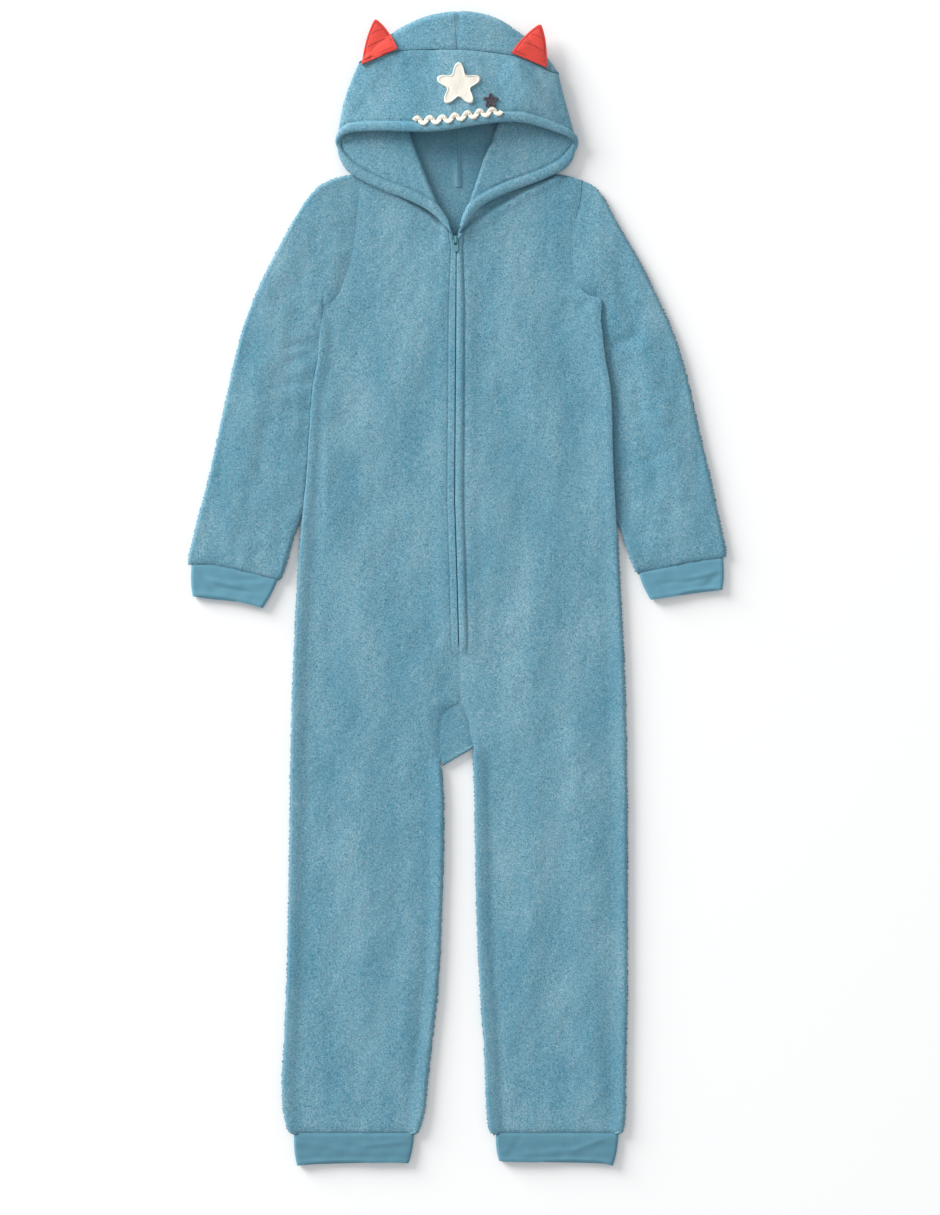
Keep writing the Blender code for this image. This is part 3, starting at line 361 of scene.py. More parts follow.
def joined(parts: Sequence[tuple[Array, Array]]) -> tuple[Array, list]:
    """Many meshes of points and faces as one: each part's corners are counted on.

    Args:
        parts: points and faces of each mesh.

    Returns:
        All points, and lists of corners.
    """
    points, faces, start = [], [], 0
    for p, f in parts:
        points.append(p)
        faces += (f + start).tolist()
        start += len(p)
    return np.vstack(points), faces


# ---- pile -------------------------------------------------------------------
@dataclass
class Pile:
    """The plush's tufts: small three-sided spikes that lean with the nap."""

    pitch: float = 2.45
    length: float = 1.5
    width: float = 0.6
    height: float = 0.35
    lean: tuple[float, float] = (0.12, -1.0)
    spread: float = 0.7
    edge_pitch: float = 0.55
    seed: int = 11
    sheets: list = field(default_factory=list)
    edges: list = field(default_factory=list)

    def add(self, grid: Array, press: Array | None = None) -> None:
        """Adds a grid of surface points, in metres, and how far seams flatten the pile there, with
        painted shade added.
        """
        self.sheets.append((grid, np.zeros(grid.shape[:2]) if press is None else press))

    def add_edge(self, path: Array, way: Sequence[float], reach: float = 2.2) -> None:
        """Adds an edge, in metres, over which tufts of a length in mm stick out one way."""
        self.edges.append((path, np.asarray(way, float), reach))

    def scatter(self, grid: Array, press: Array, rng: np.random.Generator) -> tuple:
        """Even places on the parts of a grid that face up.

        The cells' areas are summed along the grid, and the sum is cut in equal
        shares with a random shift in each.

        Args:
            grid: surface points in metres.
            press: seam flattening and painted shade, from 0 to 1 at each point.
            rng: the source of the shifts.

        Returns:
            Places, unit normals, and the seam flattening with painted shade.
        """
        a, b, c, d = (grid[:-1, :-1], grid[:-1, 1:], grid[1:, 1:], grid[1:, :-1])
        cross = np.cross(c - a, d - b).reshape(-1, 3)
        size = np.linalg.norm(cross, axis=1)
        normal = cross / np.maximum(size, 1e-15)[:, None]
        low = np.minimum.reduce([a, b, c, d])[..., 2].reshape(-1)
        seen = (normal[:, 2] > -0.35) & (low > 0.9 * MM)
        total = np.cumsum(np.where(seen, size / 2, 0))
        count = int(total[-1] / (self.pitch * MM) ** 2)
        at = (np.arange(count) + rng.random(count)) / count * total[-1]
        cell = np.minimum(np.searchsorted(total, at), len(size) - 1)
        s, t = rng.random((2, count, 1))
        pa, pb, pc, pd = (v.reshape(-1, 3)[cell] for v in (a, b, c, d))
        place = blend(blend(pa, pb, s), blend(pd, pc, s), t)
        return place, normal[cell], press[:-1, :-1].ravel()[cell]

    def build(self, name: str) -> Object:
        """The tufts of every sheet and edge as one mesh with a map seen from above.

        Args:
            name: the piece's name.

        Returns:
            The object.
        """
        rng = np.random.default_rng(self.seed)
        parts = [self.scatter(grid, press, rng) for grid, press in self.sheets]
        place, normal, press = (np.concatenate(v) for v in zip(*parts))
        count = len(place)
        turn = rng.normal(0, self.spread, count)
        turn += 0.9 * waves(place[:, 0] / MM, place[:, 1] / MM, 60, 3)
        lx, ly = self.lean
        nap = np.stack([lx * np.cos(turn) - ly * np.sin(turn),
                        lx * np.sin(turn) + ly * np.cos(turn), np.zeros(count)], axis=1)
        reach = self.length * rng.uniform(0.65, 1.25, count) * (1 - 0.6 * press)
        rise = self.height * rng.uniform(0.5, 1.2, count) * (1 - 0.8 * press)
        for path, way, over in self.edges:
            extra = int(path_length(path) / MM / self.edge_pitch)
            spot = along(path, np.sort(rng.random(extra)))
            place = np.vstack([place, spot - way * rng.uniform(0, 1.6, (extra, 1)) * MM])
            normal = np.vstack([normal, np.tile((0.0, 0.0, 1.0), (extra, 1))])
            nap = np.vstack([nap, way + rng.normal(0, 0.35, (extra, 3)) * (1, 1, 0.3)])
            reach = np.r_[reach, over * rng.uniform(0.6, 1.3, extra)]
            rise = np.r_[rise, rng.uniform(-0.6, 0.5, extra)]
            press = np.r_[press, np.zeros(extra)]
        nap = unit(nap - normal * (nap * normal).sum(axis=1, keepdims=True))
        cross = np.cross(normal, nap)
        wide = (self.width * reach / self.length)[:, None] * MM
        corners = [place + (nap * math.cos(angle) * 0.7 + cross * math.sin(angle)) * wide
                   - normal * 0.2 * MM for angle in np.radians([60, 180, 300])]
        tip = place + nap * reach[:, None] * MM + normal * rise[:, None] * MM
        points = np.stack([*corners, tip], axis=1).reshape(-1, 3)
        points[:, 2] = np.maximum(points[:, 2], 0.0)
        base = np.arange(len(place))[:, None] * 4
        shape = np.array([[0, 2, 1], [0, 1, 3], [1, 2, 3], [2, 0, 3]])
        faces = (base[:, :, None] + shape[None]).reshape(-1, 3)
        mesh = bpy.data.meshes.new(name)
        mesh.vertices.add(len(points))
        mesh.vertices.foreach_set("co", points.ravel())
        mesh.loops.add(faces.size)
        mesh.loops.foreach_set("vertex_index", faces.ravel())
        mesh.polygons.add(len(faces))
        mesh.polygons.foreach_set("loop_start", np.arange(0, faces.size, 3))
        mesh.update(calc_edges=True)
        mesh.shade_smooth()
        give_press_and_shade(mesh, np.repeat(press, 4))
        layer = mesh.uv_layers.new(name="OFBake")
        low, high = points[:, :2].min(axis=0), points[:, :2].max(axis=0)
        flat = (points[faces.ravel(), :2] - low) / (high - low)
        layer.uv.foreach_set("vector", flat.astype(np.float32).ravel())
        piece = bpy.data.objects.new(name, mesh)
        bpy.context.scene.collection.objects.link(piece)
        log.info("%s: %d tufts", name, len(place))
        return piece


# ---- shader maths -----------------------------------------------------------
class Value:
    """A socket whose arithmetic adds Math nodes."""

    def __init__(self, sheet: "Sheet", socket: NodeSocket) -> None:
        """Keeps the node sheet and the socket."""
        self.sheet, self.socket = sheet, socket

    def _math(self, kind: str, a: object, b: object) -> "Value":
        """One Math node on two values."""
        return self.sheet.node("ShaderNodeMath", {"operation": kind}, {0: a, 1: b})

    def __add__(self, other: object) -> "Value":
        """The sum."""
        return self._math("ADD", self, other)

    __radd__ = __add__

    def __sub__(self, other: object) -> "Value":
        """The difference."""
        return self._math("SUBTRACT", self, other)

    def __rsub__(self, other: object) -> "Value":
        """The difference, turned round."""
        return self._math("SUBTRACT", other, self)

    def __mul__(self, other: object) -> "Value":
        """The product."""
        return self._math("MULTIPLY", self, other)

    __rmul__ = __mul__

    def clamp(self, low: float, high: float) -> "Value":
        """The value held between two limits."""
        return self._math("MINIMUM", self._math("MAXIMUM", self, low), high)


class Sheet:
    """The nodes of one material, round its Principled shader."""

    def __init__(self, name: str) -> None:
        """Makes the material and finds its shader.

        Args:
            name: the material's name.
        """
        self.material = bpy.data.materials.new(name)
        self.material.use_nodes = True
        self.tree = self.material.node_tree
        self.shader = self.tree.nodes["Principled BSDF"]
        self.place = self.node("ShaderNodeTexCoord", {}, {}, "Object")

    def node(self, kind: str, settings: dict, inputs: dict, output: object = 0) -> Value:
        """Adds a node.

        Args:
            kind: the node's type.
            settings: properties, which are set first; "stops" sets a ramp's colours.
            inputs: a value, number, colour or Value for each input's name or number.
            output: the name or number of the output that is wanted.

        Returns:
            The output.
        """
        made = self.tree.nodes.new(kind)
        for key, value in settings.items():
            if key == "stops":
                ramp = made.color_ramp
                while len(ramp.elements) < len(value):
                    ramp.elements.new(0.5)
                for element, (where, colour) in zip(ramp.elements, value):
                    element.position = where
                    element.color = (*colour, 1.0)
            else:
                setattr(made, key, value)
        for key, value in inputs.items():
            socket = made.inputs[key]
            if isinstance(value, Value):
                self.tree.links.new(value.socket, socket)
            elif isinstance(value, tuple) and socket.type == "RGBA":
                socket.default_value = (*value, 1.0)
            else:
                socket.default_value = value
        return Value(self, made.outputs[output])

    def scaled(self, x: float, y: float, z: float, source: Value | None = None) -> Value:
        """The place stretched along each axis."""
        return self.node("ShaderNodeMapping", {}, {"Vector": source or self.place,
                                                   "Scale": (x, y, z)})

    def noise(self, size: float, detail: float = 2.0, source: Value | None = None,
              rough: float = 0.5, curl: float = 0.0) -> Value:
        """Noise from 0 to 1, with lumps of about a size in millimetres, curled up.

        Args:
            size: the lumps' size.
            detail, rough: finer layers, and how strong they are.
            source: the place read, or the plain one.
            curl: how far the lumps are twisted.

        Returns:
            The noise.
        """
        return self.node("ShaderNodeTexNoise", {},
                         {"Vector": source or self.place, "Scale": 1.0 / (size * MM),
                          "Detail": detail, "Roughness": rough, "Distortion": curl}, "Fac")

    def mix(self, amount: object, first: object, second: object) -> Value:
        """A mix of two colours: the first at 0 and the second at 1."""
        return self.node("ShaderNodeMix", {"data_type": "RGBA"},
                         {0: amount, 6: first, 7: second}, 2)

    def bump(self, height: Value, distance: float, strength: float = 1.0,
             under: Value | None = None) -> Value:
        """A bent normal from a height from 0 to 1 and its depth in millimetres.

        Args:
            height: the relief.
            distance: its depth.
            strength: from 0 to 1.
            under: a normal to build on.

        Returns:
            The normal.
        """
        inputs = {"Height": height, "Distance": distance * MM, "Strength": strength}
        if under is not None:
            inputs["Normal"] = under
        return self.node("ShaderNodeBump", {}, inputs, "Normal")

    def finish(self, links: dict, numbers: dict) -> Material:
        """Sets the shader's inputs.

        Args:
            links: a Value for each input that changes over the surface.
            numbers: plain numbers and colours for the rest.

        Returns:
            The material.
        """
        for key, value in links.items():
            self.tree.links.new(value.socket, self.shader.inputs[key])
        for key, value in numbers.items():
            socket = self.shader.inputs[key]
            socket.default_value = (*value, 1.0) if socket.type == "RGBA" else value
        return self.material


def srgb(red: int, green: int, blue: int) -> tuple[float, float, float]:
    """A colour in linear light from screen values of 0 to 255.

    Args:
        red, green, blue: the screen values.

    Returns:
        The three linear values.
    """
    c = np.array([red, green, blue]) / 255
    linear = np.where(c <= 0.04045, c / 12.92, ((c + 0.055) / 1.055) ** 2.4)
    return tuple(float(v) for v in linear)


@dataclass(frozen=True)
class PlushFinish:
    """Short plush pile: mottled by nap, greyer where it catches the light."""

    name: str
    light: tuple = srgb(140, 174, 186)
    mean: tuple = srgb(106, 153, 171)
    dark: tuple = srgb(74, 133, 157)
    # seam: the dark of pile flattened at seams, also the colour of painted shade
    seam: tuple = srgb(66, 112, 132)
    fine: float = 1.0
    depth: float = 0.5

    def make(self) -> Material:
        """Three scales of mottling over a curly grain, dark in the seams and in painted shade.

        Returns:
            The material.
        """
        s = Sheet(self.name)
        curls = s.noise(2.6, 1.0, rough=0.7, curl=1.2)
        grain = s.noise(1.6, 0.0)
        clumps = s.noise(6.5, 2.0, s.scaled(1.0, 0.7, 1.0), 0.6, 0.8)
        patches = s.noise(50.0, 2.0, s.scaled(1.0, 0.4, 1.0), 0.55)
        tone = ((curls - 0.5) * (0.9 * self.fine) + (grain - 0.5) * (1.1 * self.fine)
                + (clumps - 0.5) * 0.45 + (patches - 0.5) * 0.9 + 0.5).clamp(0, 1)
        colour = s.node("ShaderNodeValToRGB",
                        {"stops": [(0.0, self.dark), (0.5, self.mean), (1.0, self.light)]},
                        {0: tone}, "Color")
        # mixes toward the seam colour where seams flatten the pile and where shade is painted
        press = s.node("ShaderNodeAttribute", {"attribute_name": "press"}, {}, "Fac")
        colour = s.mix(press * 0.75, colour, self.seam)
        normal = s.bump(curls, self.depth, 0.8, s.bump(clumps, 0.8, 0.4))
        return s.finish({"Base Color": colour, "Normal": normal},
                        {"Roughness": 0.95, "Sheen Weight": 0.2, "Sheen Roughness": 0.5,
                         "Sheen Tint": (0.85, 0.95, 1.0), "Specular IOR Level": 0.1})


@dataclass(frozen=True)
class KnitFinish:
    """Fine smooth jersey: rows of tiny stitches that run along the cuff."""

    name: str
    light: tuple = srgb(103, 154, 173)
    dark: tuple = srgb(86, 138, 158)
    wale: float = 1.1

    def make(self) -> Material:
        """Fine wales, broken up along their length.

        Returns:
            The material.
        """
        s = Sheet(self.name)
        wander = s.noise(9.0, 1.0)
        wale = s.node("ShaderNodeTexWave", {"wave_type": "BANDS", "bands_direction": "X"},
                      {"Vector": s.place, "Scale": 1.0 / (self.wale * MM) / 6.28,
                       "Distortion": 0.6, "Detail": 1.0, "Detail Scale": 2.0}, "Fac")
        loops = s.noise(0.8, 1.0, s.scaled(1.0, 0.6, 1.0))
        tone = (wale * 0.35 + loops * 0.3 + wander * 0.5 - 0.1).clamp(0, 1)
        colour = s.mix(tone, self.dark, self.light)
        normal = s.bump(wale, 0.12, 0.6, s.bump(loops, 0.12, 0.6))
        return s.finish({"Base Color": colour, "Normal": normal},
                        {"Roughness": 0.82, "Sheen Weight": 0.12, "Sheen Roughness": 0.5,
                         "Specular IOR Level": 0.25})


@dataclass(frozen=True)
class FeltFinish:
    """Felt: matted fibres of one colour."""

    name: str
    light: tuple
    dark: tuple
    fibre: float = 1.4

    def make(self) -> Material:
        """Tangled fibres in colour and relief.

        Returns:
            The material.
        """
        s = Sheet(self.name)
        fibres = s.noise(self.fibre, 4.0, rough=0.7)
        cloud = s.noise(14.0, 2.0)
        tone = ((fibres - 0.5) * 1.1 + (cloud - 0.5) * 0.5 + 0.55).clamp(0, 1)
        colour = s.mix(tone, self.dark, self.light)
        return s.finish({"Base Color": colour, "Normal": s.bump(fibres, 0.25, 0.7)},
                        {"Roughness": 0.92, "Sheen Weight": 0.15, "Specular IOR Level": 0.2})


@dataclass(frozen=True)
class ThreadFinish:
    """Twisted sewing thread or braid yarn."""

    name: str
    light: tuple
    dark: tuple

    def make(self) -> Material:
        """Fine twist lines.

        Returns:
            The material.
        """
        s = Sheet(self.name)
        twist = s.noise(0.7, 2.0, s.scaled(1.0, 1.6, 1.0))
        colour = s.mix((twist * 1.2 - 0.1).clamp(0, 1), self.dark, self.light)
        return s.finish({"Base Color": colour, "Normal": s.bump(twist, 0.15, 0.6)},
                        {"Roughness": 0.7, "Sheen Weight": 0.1})


@dataclass(frozen=True)
class PlasticFinish:
    """Moulded plastic of the zip: dyed to the cloth, with fine scuffs."""

    name: str
    base: tuple = srgb(96, 152, 162)

    def make(self) -> Material:
        """A slight cloud in the dye and scuffs in the gloss.

        Returns:
            The material.
        """
        s = Sheet(self.name)
        cloud = s.noise(3.0, 2.0)
        dim = tuple(v * 0.8 for v in self.base)
        scuff = s.noise(0.6, 3.0)
        return s.finish({"Base Color": s.mix(cloud, dim, self.base),
                         "Roughness": scuff * 0.25 + 0.3, "Normal": s.bump(scuff, 0.03, 0.4)},
                        {"Specular IOR Level": 0.45})


# ---- the pattern of the garment ---------------------------------------------
@dataclass
class Pattern:
    """The garment's outline as it lies: tables in millimetres and rows made from them."""

    crotch: float = 554.0
    hem: float = 39.0
    body: tuple = (
        # right_x, right_up, left_x, left_up, front_up, back_up
        (-114, 1189, 150, 1181, 1115, 1173),
        (-117, 1160, 148, 1156, 1090, 1140),
        (-121, 1122, 141, 1128, 1065, 1108),
        (-126, 1088, 139, 1094, 1045, 1075),
        (-137, 1056, 144, 1060, 1027, 1045),
        (-152, 1036, 158, 1043, 1012, 1020),
        (-165, 1028, 173, 1037, 995, 998),
        (-165, 1000, 175, 1006, 975, 977),
        (-167, 968, 179, 968, 950, 951),
        (-174, 924, 186, 924, 918, 918),
        (-180, 834, 189, 834, 834, 834),
        (-188, 742, 194, 742, 742, 742),
        (-194, 627, 200, 627, 627, 627),
        (-195, 605, 201, 605, 605, 605),
        (-197, 554, 203, 554, 554, 554),
    )
    legs: tuple = (
        # up, right_out, right_in, left_in, left_out
        (554, -197, 5, 5, 203),
        (547, -197, -11, 10, 203),
        (536, -197, -18, 14, 203),
        (514, -198, -21, 18, 204),
        (492, -198, -20, 20, 204),
        (474, -199, -17, 21, 204),
        (438, -199, -15, 22, 205),
        (378, -200, -15, 23, 205),
        (318, -201, -17, 24, 205),
        (258, -202, -19, 26, 205),
        (200, -204, -23, 29, 205),
        (150, -206, -29, 33, 204),
        (105, -209, -34, 35, 203),
        (70, -208, -37, 36, 203),
        (39, -202, -44, 39, 201),
    )
    centre: tuple = ((1122, -2), (1096, 0), (950, -1), (798, -2), (700, 1), (623, 3), (554, 5))
    neck_right: tuple = ((-114, 1189), (-89, 1182), (-60, 1168), (-30, 1148), (-6, 1115))
    neck_left: tuple = ((150, 1181), (122, 1186), (88, 1178), (50, 1164), (24, 1146), (4, 1115))
    neck_back: tuple = ((-114, 1189), (-70, 1181), (-28, 1174), (-2, 1173), (30, 1174),
                        (80, 1181), (122, 1188), (150, 1181))
    armhole_row: float = 4.0
    roll_rows: tuple = (6.0, 7.2)
    inseam_roll: dict = both((492, 474), (513, 495))
    zip_top: float = 1112.0
    zip_end: float = 624.0
    step: float = 5.0
    fine_step: float = 2.5
    coarse_below: float = 470.0
    hem_bend: float = 13.0
    hem_tuck: float = 3.4

    def centre_x(self, up: Array) -> Array:
        """The centre line's x at a height up the garment."""
        table = np.array(self.centre, float)[::-1]
        return np.interp(up, table[:, 0], table[:, 1])

    def body_at(self) -> Array:
        """Row numbers of the body, about one step apart.

        Returns:
            The numbers, with fractions.
        """
        table = np.array(self.body, float)
        parts = []
        for i in range(len(table) - 1):
            span = max(np.abs(table[i + 1, [1, 4]] - table[i, [1, 4]]).max(), 1)
            parts.append(np.linspace(i, i + 1, max(2, int(round(span / self.step))) + 1)[:-1])
        return np.concatenate(parts + [[len(table) - 1.0]])

    def rows(self, side: Side, front: bool) -> Array:
        """The rows of half a front or back, from the shoulder to the hem.

        Args:
            side: the half.
            front: True for the front, whose rows meet the zip, not the back neck.

        Returns:
            Columns side_x, side_up, centre_x, centre_up, side_curl, seam_curl, fade:
            how far each roll has risen, and how much of the neck's curve is left.
        """
        at = self.body_at()
        table = between_rows(self.body, at)
        first = 0 if side is Side.RIGHT else 2
        up = table[:, 4 if front else 5]
        body = np.column_stack([table[:, first], table[:, first + 1], self.centre_x(up), up,
                                ease(*self.roll_rows, at), np.zeros(len(at)),
                                np.interp(at, (0, 0.6, 1.3, 2.1, 3, 4),
                                          (1.0, 0.72, 0.45, 0.25, 0.1, 0.0))])
        ups = np.r_[np.arange(self.crotch - self.fine_step, self.coarse_below, -self.fine_step),
                    np.arange(self.coarse_below, self.hem + 4, -self.step),
                    self.hem + np.array([3.0, 1.5, 0.5, 0.0])]
        legs = np.array(self.legs, float)[::-1]
        out = np.interp(ups, legs[:, 0], legs[:, 1 if side is Side.RIGHT else 4])
        inn = np.interp(ups, legs[:, 0], legs[:, 2 if side is Side.RIGHT else 3])
        near_hem = np.clip(1 - (ups - self.hem) / self.hem_bend, 0, 1)
        tuck = self.hem_tuck * (1 - np.sqrt(1 - near_hem**2)) * side.sign
        out, inn = out - tuck, inn + tuck
        leg = np.column_stack([out, ups, inn, ups, np.ones(len(ups)),
                               ease(*self.inseam_roll[side], ups), np.zeros(len(ups))])
        return np.vstack([body, leg])

    def side_edge(self, side: Side, at: Array, gap: Array) -> Array:
        """Places a gap away from the body's silhouette, at row numbers.

        Args:
            side: the side of the body.
            at: row numbers, with fractions.
            gap: millimetres outwards, for each row.

        Returns:
            x and up of each place.
        """
        first = 0 if side is Side.RIGHT else 2
        edge = [r[first:first + 2] for r in self.body]
        run = between_rows(edge, at + 0.02) - between_rows(edge, np.maximum(at - 0.02, 0))
        out = unit(np.stack([-run[:, 1], run[:, 0]], axis=1) * side.sign)
        return between_rows(edge, at) + out * np.reshape(gap, (-1, 1))

    def place(self, row: Array, d: Array, neck: Sequence) -> Array:
        """Places on a row at distances from its outer end.

        Args:
            row: one row of rows().
            d: distances in millimetres.
            neck: the curved top edge that the first rows follow.

        Returns:
            x and up of each place.
        """
        start, stop = row[0:2], row[2:4]
        width = np.linalg.norm(stop - start)
        u = d / width
        place = np.outer(1 - u, start) + np.outer(u, stop)
        if row[6] > 0:
            inside = np.clip(u, 0, 1)
            curve = smooth_path(neck, inside)
            ends = np.asarray(neck, float)
            place += (curve - np.outer(1 - inside, ends[0]) - np.outer(inside, ends[-1])) * row[6]
        return place


# Soft folds pressed up out of the front:
# middle x, middle up, half length, half width, height, turn from +Y in degrees.
FRONT_FOLDS = (
    (-158, 860, 110, 16, 2.0, 4),
    (-60, 960, 130, 30, 1.6, -22),
    (95, 940, 120, 26, 1.8, 14),
    (40, 800, 120, 24, 1.2, 4),
    (95, 640, 140, 22, 1.9, -8),
    (-110, 650, 120, 30, 1.4, 10),
    (-45, 600, 90, 20, 1.2, 28),
    (150, 420, 160, 20, 1.8, 3),
    (90, 330, 150, 18, 1.5, -3),
    (-110, 330, 180, 26, 1.6, 2),
    (-60, 180, 90, 18, 1.3, -8),
    (160, 150, 90, 16, 1.4, 6),
)


def folds(x: Array, up: Array, table: Sequence, most: float = 2.6) -> Array:
    """Height of some soft folds: a bell across each and a flat-topped bell along it.

    Args:
        x, up: places in millimetres.
        table: rows of middle, half length, half width, height and turn.
        most: the height that the sum may not pass.

    Returns:
        The lift in millimetres.
    """
    lift = np.zeros(np.shape(x))
    for fx, fu, length, width, height, turn in table:
        c, s = math.cos(math.radians(turn)), math.sin(math.radians(turn))
        dx, dy = x - fx, up - fu
        along, across = (dy * c - dx * s) / length, (dx * c + dy * s) / width
        lift += height * np.exp(-across**2) * np.exp(-along**4)
    return np.clip(lift, -most, most)


@dataclass
class Dresser:
    """Says what every piece is: its body, the solid it stands for and its finish."""

    pieces: list = field(default_factory=list)

    def dress(self, piece: Object, material: Material, slot: Slot,
              *nodes: str) -> None:
        """Gives a piece its material and body, and hides the solids it stands for.

        Args:
            piece: the new piece.
            material: its finish.
            slot: not used.
            nodes: the solids it stands for, if any.
        """
        piece.data.materials.append(material)
        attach(piece, BODY_OF_CLOTH)
        if nodes:
            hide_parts(*nodes)
        self.pieces.append(piece.name)
        log.info("%s: %d faces", piece.name, len(piece.data.polygons))


@dataclass
class PlushPart:
    """A part cut from plush: what it is made with, and how a shell gets its pile."""

    pattern: Pattern
    dresser: Dresser
    plush: Material
    pile: Material

    def cover(self, piece: Object, node: str, pile: Pile) -> Object:
        """Dresses a shell for its solid, and makes its tufts.

        Args:
            piece: the shell.
            node: the solid.
            pile: the tufts' places.

        Returns:
            The tufts.
        """
        self.dresser.dress(piece, self.plush, Slot.PLUSH, node)
        tufts = pile.build(node + "_pile")
        self.dresser.dress(tufts, self.pile, Slot.PLUSH)
        return tufts


# ---- body and legs ----------------------------------------------------------
@dataclass
class FrontRow:
    """A row of points across half of the front: places, distances and row values."""

    x: Array
    up: Array
    from_side: Array
    from_centre: Array
    from_neck: Array
    side_up: float
    centre_up: float
    side_curl: float
    seam_curl: float
    on_zip: float
    calm: float


@dataclass
class Body(PlushPart):
    """The two fronts, the back and the gusset."""

    side_roll: float = 4.3
    roll_points: int = 11
    roll_crest: int = 7
    seam_inset: float = 9.0
    drape: float = 1.2
    drape_bulge: float = 1.0
    seam_lap: float = 0.3
    # painted shade that darkens the body edges facing the light
    lit_edge_shade: float = 0.4
    trough: float = 14.0
    puff: dict = both(0.6, 4.2)
    chest: tuple[float, float] = (1000.0, 1060.0)
    side_steps: tuple = (0, 0.5, 1.1, 1.8, 2.8, 4.0, 5.5, 7.5, 10, 13.0)
    zip_steps: tuple = (0, 0.3, 0.8, 1.4, 2.2, 3.4, 4.8, 6.2, 7.2, 8.0, 8.6, 9.0, 9.4, 10.0,
                        10.8, 12, 14, 17, 21, 27)
    gusset_ends: tuple = ((-15.8, 479.0), (18.0, 499.0))
    gusset_rows: int = 26
    gusset_lap: float = 1.6
    placket: dict = both({"width": 8.2, "rise": 0.3, "line": 0.2, "dip": 0.45},
                         {"width": 10.2, "rise": 1.7, "line": 0.3, "dip": 0.7})
    neck_seams: dict = both(
        ((-96, 1174), (-74, 1159), (-44, 1139), (-22, 1124), (-9, 1113)),
        ((6, 1112), (24, 1124), (46, 1138), (88, 1164), (122, 1180)))

    def edge_profile(self, curl: float, inner: bool) -> Array:
        """A rolled edge, from the seam inwards: distance from the silhouette and height.

        Args:
            curl: 0 lies flat, 1 has climbed round the roll.
            inner: True for the wall's inner surface.

        Returns:
            Rows of distance and height.
        """
        radius = self.side_roll - (PLUSH if inner else 0)
        angle = np.radians(np.linspace(62, 270, self.roll_points))
        d = self.side_roll + radius * np.cos(angle)
        z = self.side_roll + radius * np.sin(angle)
        top = 2 * self.side_roll - (PLUSH if inner else 0.6)
        lead = np.linspace(0, 1, 3)[:-1]
        d = np.r_[blend(self.seam_inset, d[0], lead), d]
        z = np.r_[blend(top - 1.0, z[0], lead**0.6), z]
        flat = np.linspace(0, 16, len(d))
        floor = PLUSH if inner else 0.0
        return np.stack([blend(flat, d, curl), blend(np.full(len(d), floor), z, curl)], axis=1)

    def make_back(self) -> None:
        """The back of the body and both legs, rolled up to the seams all round."""
        halves, outer, inner, quads, press, start = [], [], [], [], [], 0
        near_side, far_side = slice(0, self.roll_points), slice(-self.roll_points, None)
        pile = Pile(seed=21)
        for side in Side:
            rows = self.pattern.rows(side, front=False)
            neck = self.pattern.neck_back
            neck = neck[:4] if side is Side.RIGHT else neck[3:][::-1]
            sheets = ([], [])
            for row in rows:
                width = np.linalg.norm(row[2:4] - row[0:2])
                for sheet, is_inner in zip(sheets, (False, True)):
                    near = self.edge_profile(row[4], is_inner)
                    far = self.edge_profile(row[5], is_inner)[::-1]
                    low, high = near[-1, 0], width - far[0, 0]
                    flat = blend(low, high, np.linspace(0, 1, 14)[1:-1])
                    floor = PLUSH if is_inner else 0.0
                    d = np.r_[near[:, 0], flat, width - far[:, 0]]
                    z = np.r_[near[:, 1], np.full(len(flat), floor), far[:, 1]]
                    place = self.pattern.place(row, d, neck)
                    sheet.append(world(place[:, 0], place[:, 1], z))
            out, inn = np.array(sheets[0]), np.array(sheets[1])
            cells = grid_quads(*out.shape[:2], start=start)
            quads.append(cells if side is Side.LEFT else cells[:, ::-1])
            start += out.shape[0] * out.shape[1]
            outer.append(out.reshape(-1, 3))
            inner.append(inn.reshape(-1, 3))
            # painted shade on the rolled edge that faces the light
            shade = np.zeros(out.shape[:2])
            lit = near_side if side is Side.RIGHT else far_side
            shade[:, lit] = self.lit_edge_shade * rows[:, 4 if side is Side.RIGHT else 5, None]
            press.append(shade.ravel())
            halves.append(out)
            neck_patch = inn[: int(len(out) * 0.12)]
            for sheet, flip in ((out[rows[:, 4] > 0.5][:, near_side], Side.LEFT),
                                (out[rows[:, 5] > 0.5][:, far_side], Side.LEFT),
                                (neck_patch, Side.RIGHT)):
                pile.add(sheet[:, ::-1] if side is flip else sheet)
            crest = self.roll_crest
            pile.add_edge(out[rows[:, 4] > 0.9][:, crest], (side.sign, 0, 0), 1.8)
            pile.add_edge(out[rows[:, 5] > 0.9][:, -1 - crest], (-side.sign, 0, 0), 1.8)
        # the inner surface gets painted shade of 0.3
        piece = shell("back_shell", np.vstack(outer), np.vstack(inner), np.vstack(quads),
                      np.concatenate(press), 0.3)
        tufts = self.cover(piece, "back", pile)

    def over_roll(self, d: Array) -> Array:
        """The height of a wall draped on the rolled edge, at distances from its own edge.

        Args:
            d: distances in millimetres.

        Returns:
            Heights in millimetres.
        """
        top = 2 * self.side_roll
        return top + np.interp(d, (0, 0.8, 1.8, 3.1, 5.5, 9.5, 14.0, 19.0, 24.0),
                               (-1.2, -0.4, 0.0, 0.15, 0.05, -0.55, -1.35, -2.2, -9.0))

    def zip_gap(self, up: Array) -> Array:
        """Half the space between the fronts: open at the slider, nearly shut below.

        Args:
            up: heights up the garment.

        Returns:
            Millimetres from the centre line.
        """
        top, end = self.pattern.zip_top, self.pattern.zip_end
        at_zip = blend(0.55, 4.4, ease(top - 19, top - 9, up))
        return blend(-self.seam_lap, at_zip, ease(end - 4, end + 4, up))

